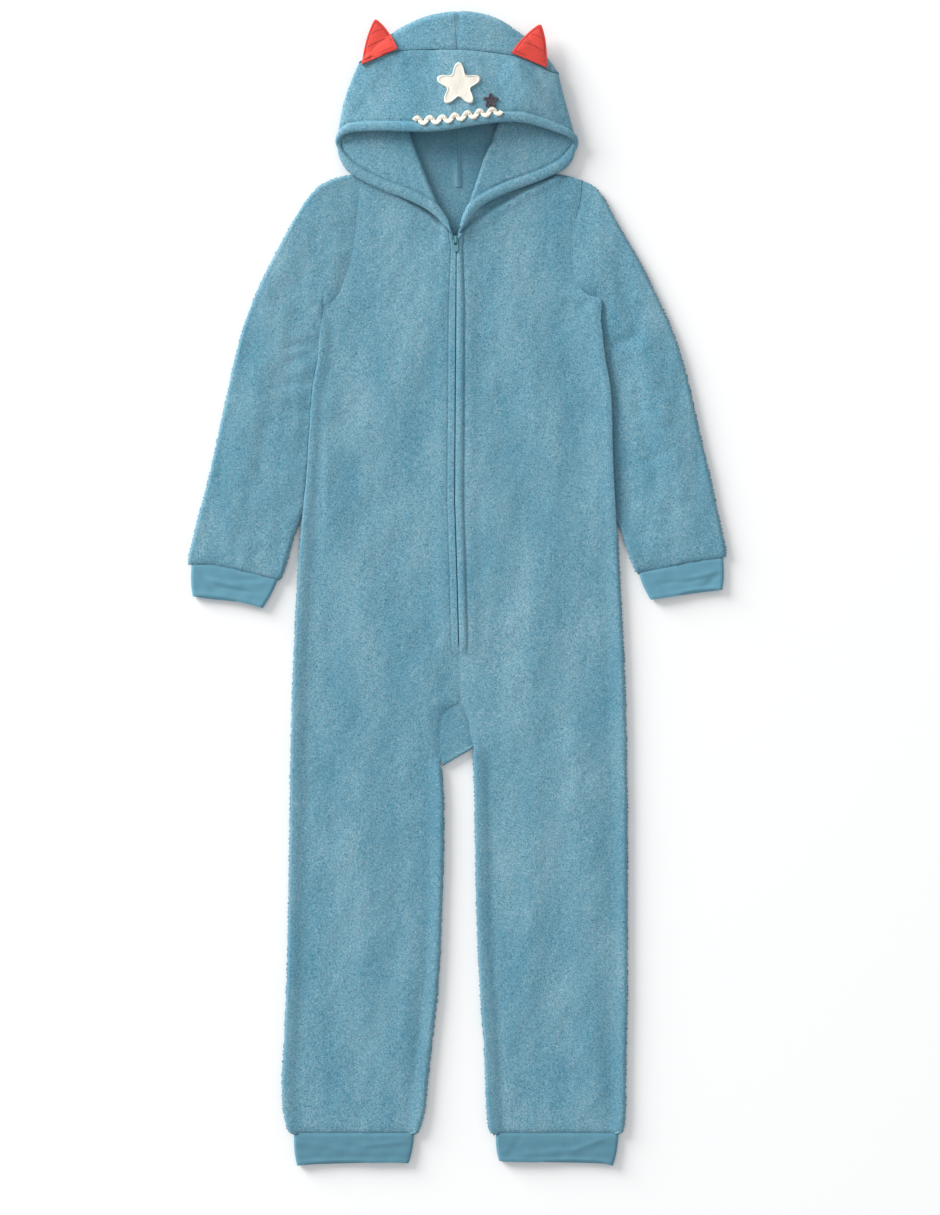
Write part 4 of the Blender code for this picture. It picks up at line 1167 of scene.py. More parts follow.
    def front_row(self, side: Side, row: Array) -> FrontRow:
        """Points across half of the front: close at both edges, even between them.

        Args:
            side: the half.
            row: one row of the pattern.

        Returns:
            The points with their distances.
        """
        pattern, slant = self.pattern, self.drape_bulge
        sx, su, cx, cu, side_curl, seam_curl, _ = row
        width = math.hypot(cx - sx, cu - su)
        near = self.drape * side_curl + slant * math.sin(math.pi * side_curl)
        if cu > pattern.crotch + 1:
            far = float(self.zip_gap(cu))
        else:
            far = (blend(-self.seam_lap, self.drape, seam_curl)
                   + slant * math.sin(math.pi * seam_curl))
        left = near + np.array(self.side_steps)
        right = width - far - np.array(self.zip_steps)[::-1]
        middle = blend(left[-1], right[0], np.linspace(0, 1, 26)[1:-1])
        d = np.r_[left, middle, right]
        neck = pattern.neck_right if side is Side.RIGHT else pattern.neck_left
        x, up = pattern.place(row, d, neck).T
        return FrontRow(x, up, d - near, width - far - d,
                        away_from(self.neck_seams[side], x, up)[0], su, cu, side_curl, seam_curl,
                        float(ease(pattern.zip_end - 16, pattern.zip_end, cu)),
                        float(ease(pattern.hem, pattern.hem + 26, su)))

    def front_press_and_shade(self, side: Side, row: FrontRow) -> Array:
        """How far seams and stitching flatten the pile, with painted shade on the lit edge and in
        the wedge below the neck seam.

        Args:
            side: the half.
            row: points across it.

        Returns:
            From 0 to 1 at each point.
        """
        e, placket = row.from_centre, self.placket[side]
        press = 0.2 * hump(row.from_side - self.trough, 6.0) * row.side_curl * row.calm
        # painted shade on the edge that faces the light: the outer edge on the right, the inner-leg
        # edge on the left
        if side is Side.RIGHT:
            press += self.lit_edge_shade * hump(row.from_side, 3.0) * row.side_curl
        else:
            press += self.lit_edge_shade * hump(e, 3.0) * row.seam_curl
        press += ((1 - row.on_zip) * blend(0.12, 0.25, row.seam_curl)
                  * hump(e - self.trough * row.seam_curl, 4.5))
        press += row.on_zip * (0.8 * hump(e, 0.8)
                               + placket["line"] * hump(e - placket["width"], 1.2))
        # the neck seam line, then painted shade in the wedge between the hood's hem and the neck
        # seam's ridge
        press += (0.2 * hump(row.from_neck, 1.5)
                  + 0.4 * hump(row.from_neck - 8.0, 3.0) * ease(*self.chest, row.centre_up))
        return np.clip(press, 0, 1)

    def front_heights(self, side: Side, row: FrontRow) -> tuple[Array, Array]:
        """The front wall: folds, seams pressed in, and edges draped on the rolled back.

        Args:
            side: the half.
            row: points across it.

        Returns:
            Heights of the upper and the lower surface.
        """
        hem, crotch, placket = self.pattern.hem, self.pattern.crotch, self.placket[side]
        x, up, d, e, seam = row.x, row.up, row.from_side, row.from_centre, row.from_neck
        on_zip, side_curl, seam_curl = row.on_zip, row.side_curl, row.seam_curl
        lift = np.interp(e, (0, 3.4, 17, 27), (1.9, 1.5, 1.3, 0.0)) * on_zip
        inside = ease(2, 26, np.minimum(d, e))
        rise = (folds(x, up, FRONT_FOLDS, 2.4) + 0.5) * inside
        at_roll = side_curl * ease(12, 0, d) + seam_curl * ease(12, 0, e)
        under = PLUSH + LAYER + lift + rise * (1 - 0.5 * at_roll)
        z = under + PLUSH
        z += (0.45 * waves(x, up * 0.5, 30, 5) + 0.3 * waves(x, up * 0.7, 11, 6)) * inside
        soft, crisp = 0.7 * hump(e - self.trough, 7.5) * row.calm, 0.35 * hump(e, 3.0)
        crisp += 0.7 * hump(e, 5.0) * float(ease(crotch + 12, crotch, row.centre_up))
        z -= (1 - on_zip) * blend(crisp, soft, seam_curl)
        z -= blend(0.4 * hump(d, 4.0), 0.8 * hump(d - self.trough, 7.0) * row.calm, side_curl)
        z += (self.puff[side] * ease(1062, 1030, row.side_up) * ease(720, 800, row.side_up)
              * hump(d - 5, 16))
        z = blend(z, np.maximum(z, self.over_roll(d)), side_curl)
        z = blend(z, np.maximum(z, self.over_roll(e)), seam_curl * (row.centre_up < crotch + 1))
        z += (on_zip * placket["rise"]
              * np.sin(math.pi * np.clip(e / placket["width"], 0, 1)) ** 0.7)
        z -= on_zip * placket["dip"] * hump(e - placket["width"], 1.1)
        z += 2.6 * hump(seam - 2.5, 3.2)
        z -= 3.4 * ease(4.0, 12.0, seam) * ease(*self.chest, row.centre_up)
        z -= 1.0 * float(ease(hem + 6, hem, row.side_up))
        z -= 1.8 * max(0.0, 1 - (row.side_up - hem) / 3.0) ** 3
        return z, np.minimum(under + 3.0 * at_roll, z - 0.9)

    def make_front(self, side: Side) -> None:
        """Half of the front, with its seams, the stitching by the zip and its folds.

        Args:
            side: the half.
        """
        top, low, press = [], [], []
        for pattern_row in self.pattern.rows(side, front=True):
            row = self.front_row(side, pattern_row)
            upper, lower = self.front_heights(side, row)
            top.append(world(row.x, row.up, upper))
            low.append(world(row.x, row.up, lower))
            press.append(self.front_press_and_shade(side, row))
        top, low, press = np.array(top), np.array(low), np.array(press)
        name = f"front_{side.value}"
        piece = grid_shell(name + "_shell", top, low, press=press)
        pile = Pile(seed=31 + side.sign)
        pile.add(*(v if side is Side.LEFT else v[:, ::-1] for v in (top, press)))
        pile.add_edge(top[-1], (0, -1, 0), 2.8)
        tufts = self.cover(piece, name, pile)

    def make_gusset(self) -> None:
        """The crotch insert: a leaf in front, a fold below and a leaf in the back."""
        legs = np.array(self.pattern.legs, float)[::-1]
        across = np.linspace(0, 1, 18)
        low_right, low_left = self.gusset_ends
        top, count = self.pattern.crotch + 1, self.gusset_rows
        right_up = np.linspace(top, low_right[1] + 5, count)
        left_up = np.linspace(top, low_left[1] + 5, count)
        right_x = np.interp(right_up, legs[:, 0], legs[:, 2]) - self.gusset_lap
        left_x = np.interp(left_up, legs[:, 0], legs[:, 3]) + self.gusset_lap
        x = blend(right_x[:, None], left_x[:, None], across)
        up = blend(right_up[:, None], left_up[:, None], across)
        edge = np.minimum(np.minimum(across, 1 - across) * (left_x - right_x)[:, None],
                          (right_up[0] - up))
        swell = ease(0, 7, edge)
        front_out = world(x, up, PLUSH + LAYER + PLUSH - 1.3 + 0.5 * swell)
        # painted shade over the recessed gusset, strongest along its edges under the fronts
        pressed_and_shaded = 0.15 + 0.25 * hump(edge, 5.0)
        front_in = world(x, up, np.full_like(x, PLUSH + LAYER))
        radius = (2 * PLUSH + LAYER) / 2
        angle = np.radians(np.linspace(80, -80, 9))[:, None]
        ex, eu = blend(low_right[0], low_left[0], across), blend(low_right[1], low_left[1], across)
        fold = [world(ex + 0 * angle, eu + radius - r * np.cos(angle), radius + r * np.sin(angle))
                for r in (radius, radius - PLUSH)]
        back_out = world(x, up, np.zeros_like(x))[::-1]
        back_in = world(x, up, np.full_like(x, PLUSH))[::-1]
        outer = np.concatenate([front_out, fold[0], back_out])
        inner = np.concatenate([front_in, fold[1], back_in])
        press = np.zeros(outer.shape[:2])
        press[:count] = pressed_and_shaded
        piece = grid_shell("gusset_shell", outer, inner, press=press)
        pile = Pile(seed=41)
        shown = count + 6
        pile.add(outer[:shown, ::-1], press[:shown, ::-1])
        tufts = self.cover(piece, "gusset", pile)

    def build(self) -> None:
        """Makes every piece of the body."""
        self.make_back()
        for side in Side:
            self.make_front(side)
        self.make_gusset()


# ---- sleeves and cuffs ------------------------------------------------------
def ring_profile(width: float, height: float, thickness: float, top: Array, low: Array,
                 arcs: int) -> list[Array]:
    """A flattened tube's outer and inner section: two layers joined by half circles.

    Args:
        width, height: the section's size in millimetres.
        thickness: the wall.
        top, low: shares of the width at which the layers have points.
        arcs: points on each half circle.

    Returns:
        Rows of distance across and height, for the outer and the inner surface.
    """
    radius = height / 2
    turn = np.linspace(0, math.pi, arcs + 2)[1:-1]
    result = []
    for r in (radius, max(radius - thickness, 0.15)):
        across_top = np.clip(top * width, radius, width - radius)
        across_low = np.clip(low * width, radius, width - radius)
        near = np.stack([radius - r * np.sin(turn), radius - r * np.cos(turn)], axis=1)
        far = np.stack([width - radius + r * np.sin(turn), radius + r * np.cos(turn)], axis=1)
        upper = np.stack([across_top, np.full(len(top), radius + r)], axis=1)
        lower = np.stack([across_low[::-1], np.full(len(low), radius - r)], axis=1)
        result.append(np.vstack([upper, far, lower, near]))
    return result


@dataclass
class Sleeve(PlushPart):
    """A sleeve: a flat tube whose plan is a Coons patch between its four edges."""

    side: Side
    height: float = 9.0
    length: float = 470.0
    lap: float = 1.6
    side_lap: float = 2.4
    leaf_row: float = 10.5
    hem_height: float = 8.6
    hem_bend: float = 12.0
    hem_tuck: float = 3.0
    deepest: float = 2.8
    upper_points: int = 30
    arc_points: int = 9
    tuck: dict = both((1.5, 40), (5.0, 60))
    outer_edges: dict = both(
        ((-128, 1187), (-150, 1181), (-169, 1169), (-189, 1142), (-215, 1096), (-237, 1051),
         (-253, 1010), (-266, 962), (-281, 894), (-297, 822), (-311, 770), (-323, 720)),
        ((164, 1174), (176, 1160), (195, 1125), (218, 1086), (240, 1042), (259, 1000),
         (274, 954), (290, 885), (305, 822), (316, 770), (325, 729)))
    leaves: dict = both(
        ((-190, 766), (-195.5, 751), (-202, 727), (-210, 702)),
        ((193.8, 770), (197.5, 760), (203.3, 742), (209, 727), (215, 709.5)))
    wrists: dict = both(((-323, 720), (-295, 720), (-258, 713), (-210, 702)),
                        ((325, 729), (280, 723), (252, 717), (215, 709.5)))
    creases: dict = both(
        ((-183, 984, 22, 4, -2.0, 100), (-188, 968, 18, 4, -1.6, 112),
         (-186, 938, 18, 5, -1.3, 95), (-188, 906, 20, 5, -1.5, 82),
         (-238, 930, 80, 16, 1.4, -16), (-262, 800, 70, 14, 1.2, -10),
         (-205, 1080, 60, 14, 1.3, -24), (-230, 860, 30, 8, -1.0, 70)),
        ((196, 985, 30, 7, -1.8, -70), (205, 1040, 60, 10, -1.6, 12),
         (240, 930, 80, 16, 1.6, 16), (270, 800, 70, 14, 1.2, 10),
         (222, 900, 90, 9, -1.5, 12), (240, 850, 26, 7, -1.1, -65)))

    def edges(self) -> tuple[Array, ...]:
        """The plan's edges: the inner one runs by the body, then on its own to the wrist.

        Returns:
            Shares of the length, the armhole, the wrist, and the outer and inner edge at
            the shares.
        """
        row = self.pattern.armhole_row
        rows = np.linspace(row, self.leaf_row, 60)
        armhole = self.pattern.side_edge(self.side, np.linspace(0, row, 40),
                                         np.full(40, -self.lap))
        under = self.side_lap * ease(4, 4.5, rows) * ease(8.5, 7.2, rows)
        beside = self.pattern.side_edge(self.side, rows, -self.lap - under)
        leaf = smooth_path(np.vstack([beside[-1:], self.leaves[self.side]]), np.linspace(0, 1, 24))
        inner_edge = np.vstack([beside, leaf[1:]])
        at = np.unique(np.r_[shares(inner_edge)[:60:2], np.linspace(0.3, 1, 60), 0.994, 0.997])
        inner_edge = along(inner_edge, at)
        outer_edge = smooth_path(np.vstack([armhole[:1], self.outer_edges[self.side]]), at)
        wrist = smooth_path(self.wrists[self.side], np.linspace(0, 1, 30))
        return at, armhole, wrist, outer_edge, inner_edge

    @staticmethod
    def plan(v: float, u: Array, ends: tuple[Array, Array], sides: tuple[Array, Array]) -> Array:
        """Places on a Coons patch: the sum of its two ruled surfaces less the corners' one.

        Args:
            v: share of the way from the armhole to the wrist.
            u: shares of the way from the outer to the inner edge.
            ends: the armhole and the wrist.
            sides: the places on the outer and the inner edge at v.

        Returns:
            x and up of each place.
        """
        (armhole, wrist), (a, b) = ends, sides
        flat = (1 - v) * along(armhole, u) + v * along(wrist, u)
        flat += np.outer(1 - u, a) + np.outer(u, b)
        flat -= (1 - v) * (np.outer(1 - u, armhole[0]) + np.outer(u, armhole[-1]))
        flat -= v * (np.outer(1 - u, wrist[0]) + np.outer(u, wrist[-1]))
        return flat

    def build(self) -> None:
        """Makes the sleeve and its pile."""
        sign = self.side.sign
        at, armhole, wrist, outer_edge, inner_edge = self.edges()
        heights = blend(2 * PLUSH + LAYER - 0.4, self.height, ease(0, 0.1, at))
        heights = blend(heights, self.hem_height, ease(0.9, 1, at))
        widths = np.linalg.norm(outer_edge - inner_edge, axis=1)
        outer, inner, press = [], [], []
        for v, width, height, a, b in zip(at, widths, heights, outer_edge, inner_edge):
            sections = ring_profile(width, height, PLUSH, np.linspace(0, 1, self.upper_points),
                                    np.linspace(0, 1, 9), self.arc_points)
            near_hem = np.clip(1 - (1 - v) * self.length / self.hem_bend, 0, 1)
            tuck = self.hem_tuck * (1 - math.sqrt(1 - near_hem**2))
            deep, reach = self.tuck[self.side]
            for sheet, section in zip((outer, inner), sections):
                u, z = section[:, 0] / width, section[:, 1].copy()
                flat = self.plan(v, u, (armhole, wrist), (a, b))
                flat[:, 0] += sign * tuck * (2 * u - 1)
                tucked = (ease(1058, 1028, flat[:, 1]) * ease(0.97, 0.75, v)
                          * ease(reach, 3, (1 - u) * width))
                if sheet is inner:
                    z -= (ease(height * 0.5, height - PLUSH, z) * tucked
                          * min(deep, self.deepest))
                else:
                    upper = ease(height * 0.5, height, z)
                    x, up = flat[:, 0], flat[:, 1]
                    z += upper * (folds(x, up, self.creases[self.side])
                                  + 0.5 * waves(x, up * 0.6, 30, 8)
                                  + 0.3 * waves(x, up * 0.7, 11, 9))
                    z -= upper * 0.6 * hump(v * self.length, 4.5)
                    z -= upper * (0.8 * near_hem**2 + 1.6 * near_hem**8)
                    z -= upper * tucked * deep
                    # painted shade: the lit outer rim of the right sleeve, the left sleeve's side
                    # in the body's shadow
                    lit = (0.35 * hump(u * width, 4.0) if self.side is Side.RIGHT
                           else 0.5 * hump((1 - u) * width, 16.0) * upper)
                    # the first term is the armhole seam, the second the painted shade
                    press.append(0.22 * hump(v * self.length, 4.0) * upper + lit)
                sheet.append(world(flat[:, 0], flat[:, 1], z))
        outer, inner, press = np.array(outer), np.array(inner), np.array(press)
        name = f"sleeve_{self.side.value}"
        piece = grid_shell(name + "_shell", outer, inner, closed=True, press=press)
        pile = Pile(seed=51 + sign, lean=(0.3 * sign, -1.0))
        ring = np.concatenate([outer, outer[:, :1]], axis=1)
        press = np.concatenate([press, press[:, :1]], axis=1)
        turned = slice(None, None, -1 if self.side is Side.RIGHT else 1)
        pile.add(ring[:, turned], press[:, turned])
        half_arc = self.arc_points // 2
        pile.add_edge(outer[-1, :self.upper_points], (0, -1, 0), 2.8)
        pile.add_edge(outer[:, self.upper_points + half_arc], (-sign, 0, 0), 1.8)
        pile.add_edge(outer[:, -1 - half_arc], (sign, 0, 0), 1.8)
        tufts = self.cover(piece, name, pile)


@dataclass
class Cuff:
    """A knit cuff: a short flat tube from its seam to its free edge."""

    name: str
    seam: Sequence
    end: Sequence
    dresser: Dresser
    knit: Material
    flat: tuple[float, float]
    height: float = 7.4
    length: float = 38.0
    inset: tuple[float, float] = (0.05, 0.03)
    lap: float = 1.2
    swell: float = 1.6
    slit: float = 2.6
    wrinkles: Sequence = ()

    def plan(self, seam: Array, end: Array, v: float, u: Array) -> Array:
        """Places across the tube: a mix of its two edges, swollen in the middle.

        Args:
            seam, end: the edges, as paths in millimetres.
            v: 0 at the seam and 1 at the free edge.
            u: shares of the width.

        Returns:
            x and up of each place.
        """
        inside = blend(self.inset[0], 1 - self.inset[1], u)
        place = (1 - v) * (along(seam, inside) + (0, self.lap)) + v * along(end, u)
        way = np.sign(seam[-1, 0] - seam[0, 0])
        bulge = self.swell * math.sin(math.pi * v) * (2 * u - 1) * way
        return place + np.stack([bulge, np.zeros_like(bulge)], axis=1)

    def build(self) -> None:
        """Makes the cuff with its wrinkles and its turned edge."""
        at = np.linspace(0, 1, 26)
        dense = np.linspace(0, 1, 30)
        seam, end = smooth_path(self.seam, dense), smooth_path(self.end, dense)
        outer, inner = [], []
        for v in at:
            width = abs(np.ptp(self.plan(seam, end, v, np.array([0.0, 1.0]))[:, 0]))
            sections = ring_profile(width, self.height, KNIT, np.linspace(0, 1, 40),
                                    np.linspace(0, 1, 12), 9)
            for sheet, section in zip((outer, inner), sections):
                place = self.plan(seam, end, v, section[:, 0] / width)
                z = section[:, 1].copy()
                if sheet is outer:
                    x, up = place[:, 0], place[:, 1]
                    upper = ease(self.height * 0.5, self.height, z)
                    calm = ease(0, 0.12, v) * ease(1.0, 0.86, v)
                    z += upper * (folds(x, up, self.wrinkles) * calm
                                  + 0.3 * waves(x, up, 16, 12))
                    z += upper * 0.5 * hump((1 - v) * self.length - 3.0, 2.4)
                    z -= upper * 1.4 * hump(v * self.length, 2.4)
                    place[:, 1] += upper * self.slit * np.sin(
                        math.pi * np.clip(section[:, 0] / width * 1.5, 0, 1)) * v**6
                sheet.append(world(place[:, 0], place[:, 1], z))
        outer, inner = np.array(outer), np.array(inner)
        piece = grid_shell(self.name + "_shell", outer, inner, closed=True)
        self.dresser.dress(piece, self.knit, Slot.KNIT, self.name)


# ---- hood -------------------------------------------------------------------
@dataclass
class Hood(PlushPart):
    """The hood: two crown halves and the band round the face."""

    fold_radius: float = 5.0
    cheek_turn: float = 10.0
    roll: float = 8.0
    columns: int = 60
    crown_lines: int = 40
    hem_swell: float = 2.7
    wall_half: float = 1.45
    ridge: tuple = ((60, 1322), (82, 1300), (106, 1272), (128, 1246))
    ridge_rise: float = 5.0
    crease: tuple = ((-112, 1306), (-126, 1288), (-132, 1268))
    crease_dip: float = 1.6
    band: tuple = (
        # hem_x, hem_up, end_x, end_up, hem_z, end_z, curl, bow, hem width
        (-6, 1117, -9, 1127, 11.4, 11.6, 0.0, 0, 13),
        (-30, 1141, -24, 1158, 11.0, 12.1, 0.5, 0, 13),
        (-60, 1157, -39, 1192, 10.6, 12.1, 1.0, 0, 13),
        (-89, 1168, -52, 1226, 10.2, 12.1, 1.0, 0, 13),
        (-112, 1179, -60, 1252, 9.8, 11.6, 1.0, 0, 13),
        (-131, 1192, -74, 1274, 9.2, 9.4, 0.5, 0, 13),
        (-140, 1208, -90, 1294, 7.6, 7.8, 0.0, -2, 10),
        (-142, 1219, -106, 1308, 7.4, 8.0, 0.0, -4, 10),
        (-141, 1226, -115, 1316, 10.6, 12.0, 0.0, -5, 11),
        (-136, 1232, -113, 1319, 14.6, 15.0, 0.0, -4, 12),
        (-124, 1236, -98, 1324, 17.5, 17.0, 0.0, -2, 12),
        (-89, 1237, -71, 1332, 22.5, 18.5, 0.0, 0, 12),
        (-46, 1235, -36, 1334, 27.5, 20.0, 0.0, 0, 12),
        (-16, 1236, -12, 1334, 30.0, 21.0, 0.0, 0, 12),
        (15, 1241, 18, 1333, 30.5, 21.0, 0.0, 0, 12),
        (48, 1246, 48, 1330, 28.5, 20.0, 0.0, 0, 12),
        (76, 1247, 74, 1325, 25.0, 19.0, 0.0, 0, 12),
        (104, 1241, 97, 1316, 20.5, 17.8, 0.0, 0, 12),
        (128, 1233, 111, 1309, 17.2, 16.0, 0.0, 0, 12),
        (139, 1228, 118, 1307, 14.4, 14.4, 0.0, 1, 12),
        (144, 1222, 121, 1304, 10.6, 11.4, 0.0, 1, 11),
        (142, 1214, 112, 1297, 7.4, 8.0, 0.0, 1, 10),
        (138, 1203, 94, 1285, 7.6, 7.8, 0.0, 0, 13),
        (127, 1192, 76, 1270, 9.2, 9.4, 0.5, 0, 13),
        (104, 1181, 53, 1252, 9.8, 11.6, 1.0, 0, 13),
        (80, 1172, 43, 1228, 10.2, 12.1, 1.0, 0, 13),
        (57, 1163, 31, 1200, 10.6, 12.1, 1.0, 0, 13),
        (27, 1146, 17, 1160, 11.0, 12.1, 0.5, 0, 13),
        (4, 1117, 7, 1127, 11.4, 11.6, 0.0, 0, 13),
    )
    brow_rows: tuple = (8, 20)
    top: tuple = ((-117, 1318), (-108, 1329), (-92, 1344), (-70, 1360), (-53, 1369),
                  (-32, 1377), (-3, 1382), (22, 1381), (48, 1374), (69, 1361), (94, 1342),
                  (112, 1322), (123, 1306))
    bulge: dict = both(24.0, 14.0)
    neck_ends: dict = both(-112.0, 120.0)

    def band_rows(self, at: Array) -> Array:
        """Rows of the band's table at row numbers."""
        return between_rows(self.band, at)

    def band_row(self, row: Array) -> tuple[Array, Array]:
        """The middle surface across the band: straight, then round its rolled edge.

        Args:
            row: one row of the band's table.

        Returns:
            Points in millimetres and their distances from the hem.
        """
        hem, end = row[0:2], row[2:4]
        length = np.linalg.norm(end - hem)
        way = (end - hem) / length
        side = np.array([way[1], -way[0]])
        radius = self.fold_radius - PLUSH / 2
        straight = self.columns - 14
        turn = np.radians(np.linspace(0, 180, 11))
        ramp = np.linspace(0, 1, straight) ** 1.5
        curled_p = np.r_[ramp * (length - self.fold_radius),
                         length - self.fold_radius + radius * np.sin(turn[1:]),
                         length - self.fold_radius - self.cheek_turn * np.array([0.3, 0.6, 0.8, 1])]
        curled_z = np.r_[blend(row[4], row[5], ramp), row[5] - radius + radius * np.cos(turn[1:]),
                         np.full(4, row[5] - 2 * radius)]
        even = np.linspace(0, 1, self.columns) ** 1.45
        p = blend(even * length, curled_p, row[6])
        z = blend(blend(row[4], row[5], even), curled_z, row[6])
        bow = row[7] * np.sin(math.pi * np.clip(p / length, 0, 1)) * np.sign(row[0])
        place = hem + np.outer(p, way) - np.outer(bow, side)
        walked = np.r_[0, np.cumsum(np.hypot(np.diff(p), np.diff(z)))]
        return np.column_stack([place, z]), walked

    def make_band(self) -> Object:
        """The band: its wall is thicker in the turned hem and thin along the stitches.

        Returns:
            The shell.
        """
        last = len(self.band) - 1
        at = np.linspace(0, last, last * 9 + 1)
        rows = self.band_rows(at)
        lines, walked = zip(*(self.band_row(r) for r in rows))
        middle, walked = np.array(lines), np.array(walked)
        hem = rows[:, 8:9]
        x, up = middle[..., 0], middle[..., 1]
        brow = ease(8.6, 10.2, at) * ease(last - 8.4, last - 9.8, at)
        length = walked[:, -1:]
        relief, shade = self.brow_relief(x, up, walked, length - walked)
        middle[..., 2] += brow[:, None] * relief
        across = walked / hem
        bulge = np.clip(1 - (across * 2 - 1) ** 2, 0, 1) ** 0.5
        groove = hump(walked - hem - 0.6, 1.5)
        at_brow = brow[:, None] * hump(length - walked, 2.2)
        half = np.where(across < 1, 0.9 + self.hem_swell * bulge, self.wall_half)
        half = half - 0.75 * groove - 0.7 * at_brow
        half = half + 0.3 * waves(x, up, 16, 15) * ease(2, 8, walked)
        half[:, 0] *= 0.35
        middle_m = world(x, up, middle[..., 2])
        n = normals(middle_m)
        outer, inner = middle_m + n * half[..., None] * MM, middle_m - n * half[..., None] * MM
        # stitch grooves and the brow seam flatten the pile; the brow term is painted shade
        press = np.clip(0.8 * groove + 0.6 * at_brow + brow[:, None] * shade, 0, 1)
        piece = grid_shell("hood_band_shell", outer, inner, press=press)
        pile = Pile(seed=61)
        for sheet in (outer, inner):
            pile.add(sheet, press)
            pile.add(sheet[:, ::-1], press[:, ::-1])
        tufts = self.cover(piece, "hood_band", pile)
        return piece

    def brow_relief(self, x: Array, up: Array, walked: Array,
                    to_seam: Array) -> tuple[Array, Array]:
        """Folds of the brow: a ridge down to the left corner, past which the side drops away.

        Args:
            x, up: places in millimetres.
            walked, to_seam: distances from the hem and from the brow seam.

        Returns:
            The lift, and the painted shade past the ridge, from 0 to 1.
        """
        ridge, share = away_from(self.ridge, x, up)
        on_ridge = np.sin(math.pi * np.clip(share, 0.02, 0.98)) ** 0.5
        inner, outer = hump(ridge + 2, 22), hump(ridge + 2, 9)
        lift = self.ridge_rise * np.where(ridge > -2, outer, inner) * on_ridge
        lift *= ease(0, 16, to_seam)
        # painted shade on the side that drops away from the ridge
        shade = 0.45 * hump(ridge - 9, 9) * on_ridge
        crease, share = away_from(self.crease, x, up)
        lift -= self.crease_dip * hump(crease, 4) * np.sin(math.pi * np.clip(share, 0.02, 0.98))
        lift += 1.0 * waves(x, up, 55, 17) + 0.3 * waves(x, up, 18, 18)
        inside = ease(4, 26, walked)
        return lift * inside, shade * inside

    def crown_line(self, side: Side, u: float, start: Array, crest: Array, brow: Array,
                   brow_z: float) -> Array:
        """One line over the crown: flat up from the neck, round the top, on to the brow.

        Args:
            side: the half.
            u: 0 at the centre seam and 1 at the outer end.
            start, crest, brow: x and up where it starts, turns and ends.
            brow_z: its height at the brow seam.

        Returns:
            x, up and z of each point.
        """
        half = PLUSH / 2
        inward = (brow - crest) / max(np.linalg.norm(brow - crest), 1.0)
        crest = crest + inward * half
        depth = max(np.linalg.norm(brow - crest), 0.6)
        top_z = brow_z * 0.86 if depth > self.roll else brow_z
        upper = min(self.roll, depth)
        mid_z = half + (top_z - half) * 0.5
        to_start = (start - crest) / np.linalg.norm(start - crest)
        low = crest + to_start * self.roll
        w = np.linspace(0, 1, 34)
        lower = np.outer(1 - w, start) + np.outer(w, low)
        swell = self.bulge[side] * u**2 * np.sin(math.pi * np.clip(w * 1.15, 0, 1)) ** 0.9
        lower[:, 0] += side.sign * swell * (1 - w)
        lower = np.column_stack([lower, np.full(len(w), half)])
        turn = np.radians(np.linspace(0, 90, 8))[1:, None]
        first = np.hstack([crest + to_start * self.roll * (1 - np.sin(turn)),
                           half + (mid_z - half) * (1 - np.cos(turn))])
        second = np.hstack([crest + inward * upper * (1 - np.cos(turn)),
                            mid_z + (top_z - mid_z) * np.sin(turn)])
        rest = max(depth - upper, 0.9)
        t = np.linspace(0, 1, 12)[1:, None]
        last = np.hstack([crest + inward * (upper + rest * t), blend(top_z, brow_z, t)])
        return np.vstack([lower, first, second, last])

    def crown_grid(self, side: Side) -> Array:
        """The middle surface of half the crown: lines from the neck to the brow seam.

        Args:
            side: the half.

        Returns:
            x, up and z of each point of a grid whose rows run over the crown.
        """
        seam = self.band_rows(np.linspace(*self.brow_rows, 60))
        end = 0 if side is Side.RIGHT else -1
        u = np.linspace(0, 1, self.crown_lines) ** 1.2
        neck = smooth_path(self.pattern.neck_back, np.linspace(0, 1, 120))
        apart = SEAM / 2 * side.sign
        neck_x = blend(2.5 + apart, self.neck_ends[side], u)
        neck_up = np.interp(neck_x, neck[:, 0], neck[:, 1]) + SEAM / 3
        top = smooth_path(self.top, np.linspace(0, 1, 160))
        swing = np.sin(u * math.pi / 2) ** 0.9
        top_x = blend(-3.0 + apart, top[end, 0], swing)
        top_up = np.interp(top_x, top[:, 0], top[:, 1])
        brow_x = blend(1.0 + apart, seam[end, 2], swing)
        brow_up = np.interp(brow_x, seam[:, 2], seam[:, 3]) + 2 * SEAM + 2.2 * u**3
        brow_z = np.interp(brow_x, seam[:, 2], seam[:, 5])
        lines = zip(u, np.stack([neck_x, neck_up], axis=1), np.stack([top_x, top_up], axis=1),
                    np.stack([brow_x, brow_up], axis=1), brow_z)
        return np.array([self.crown_line(side, *line) for line in lines])

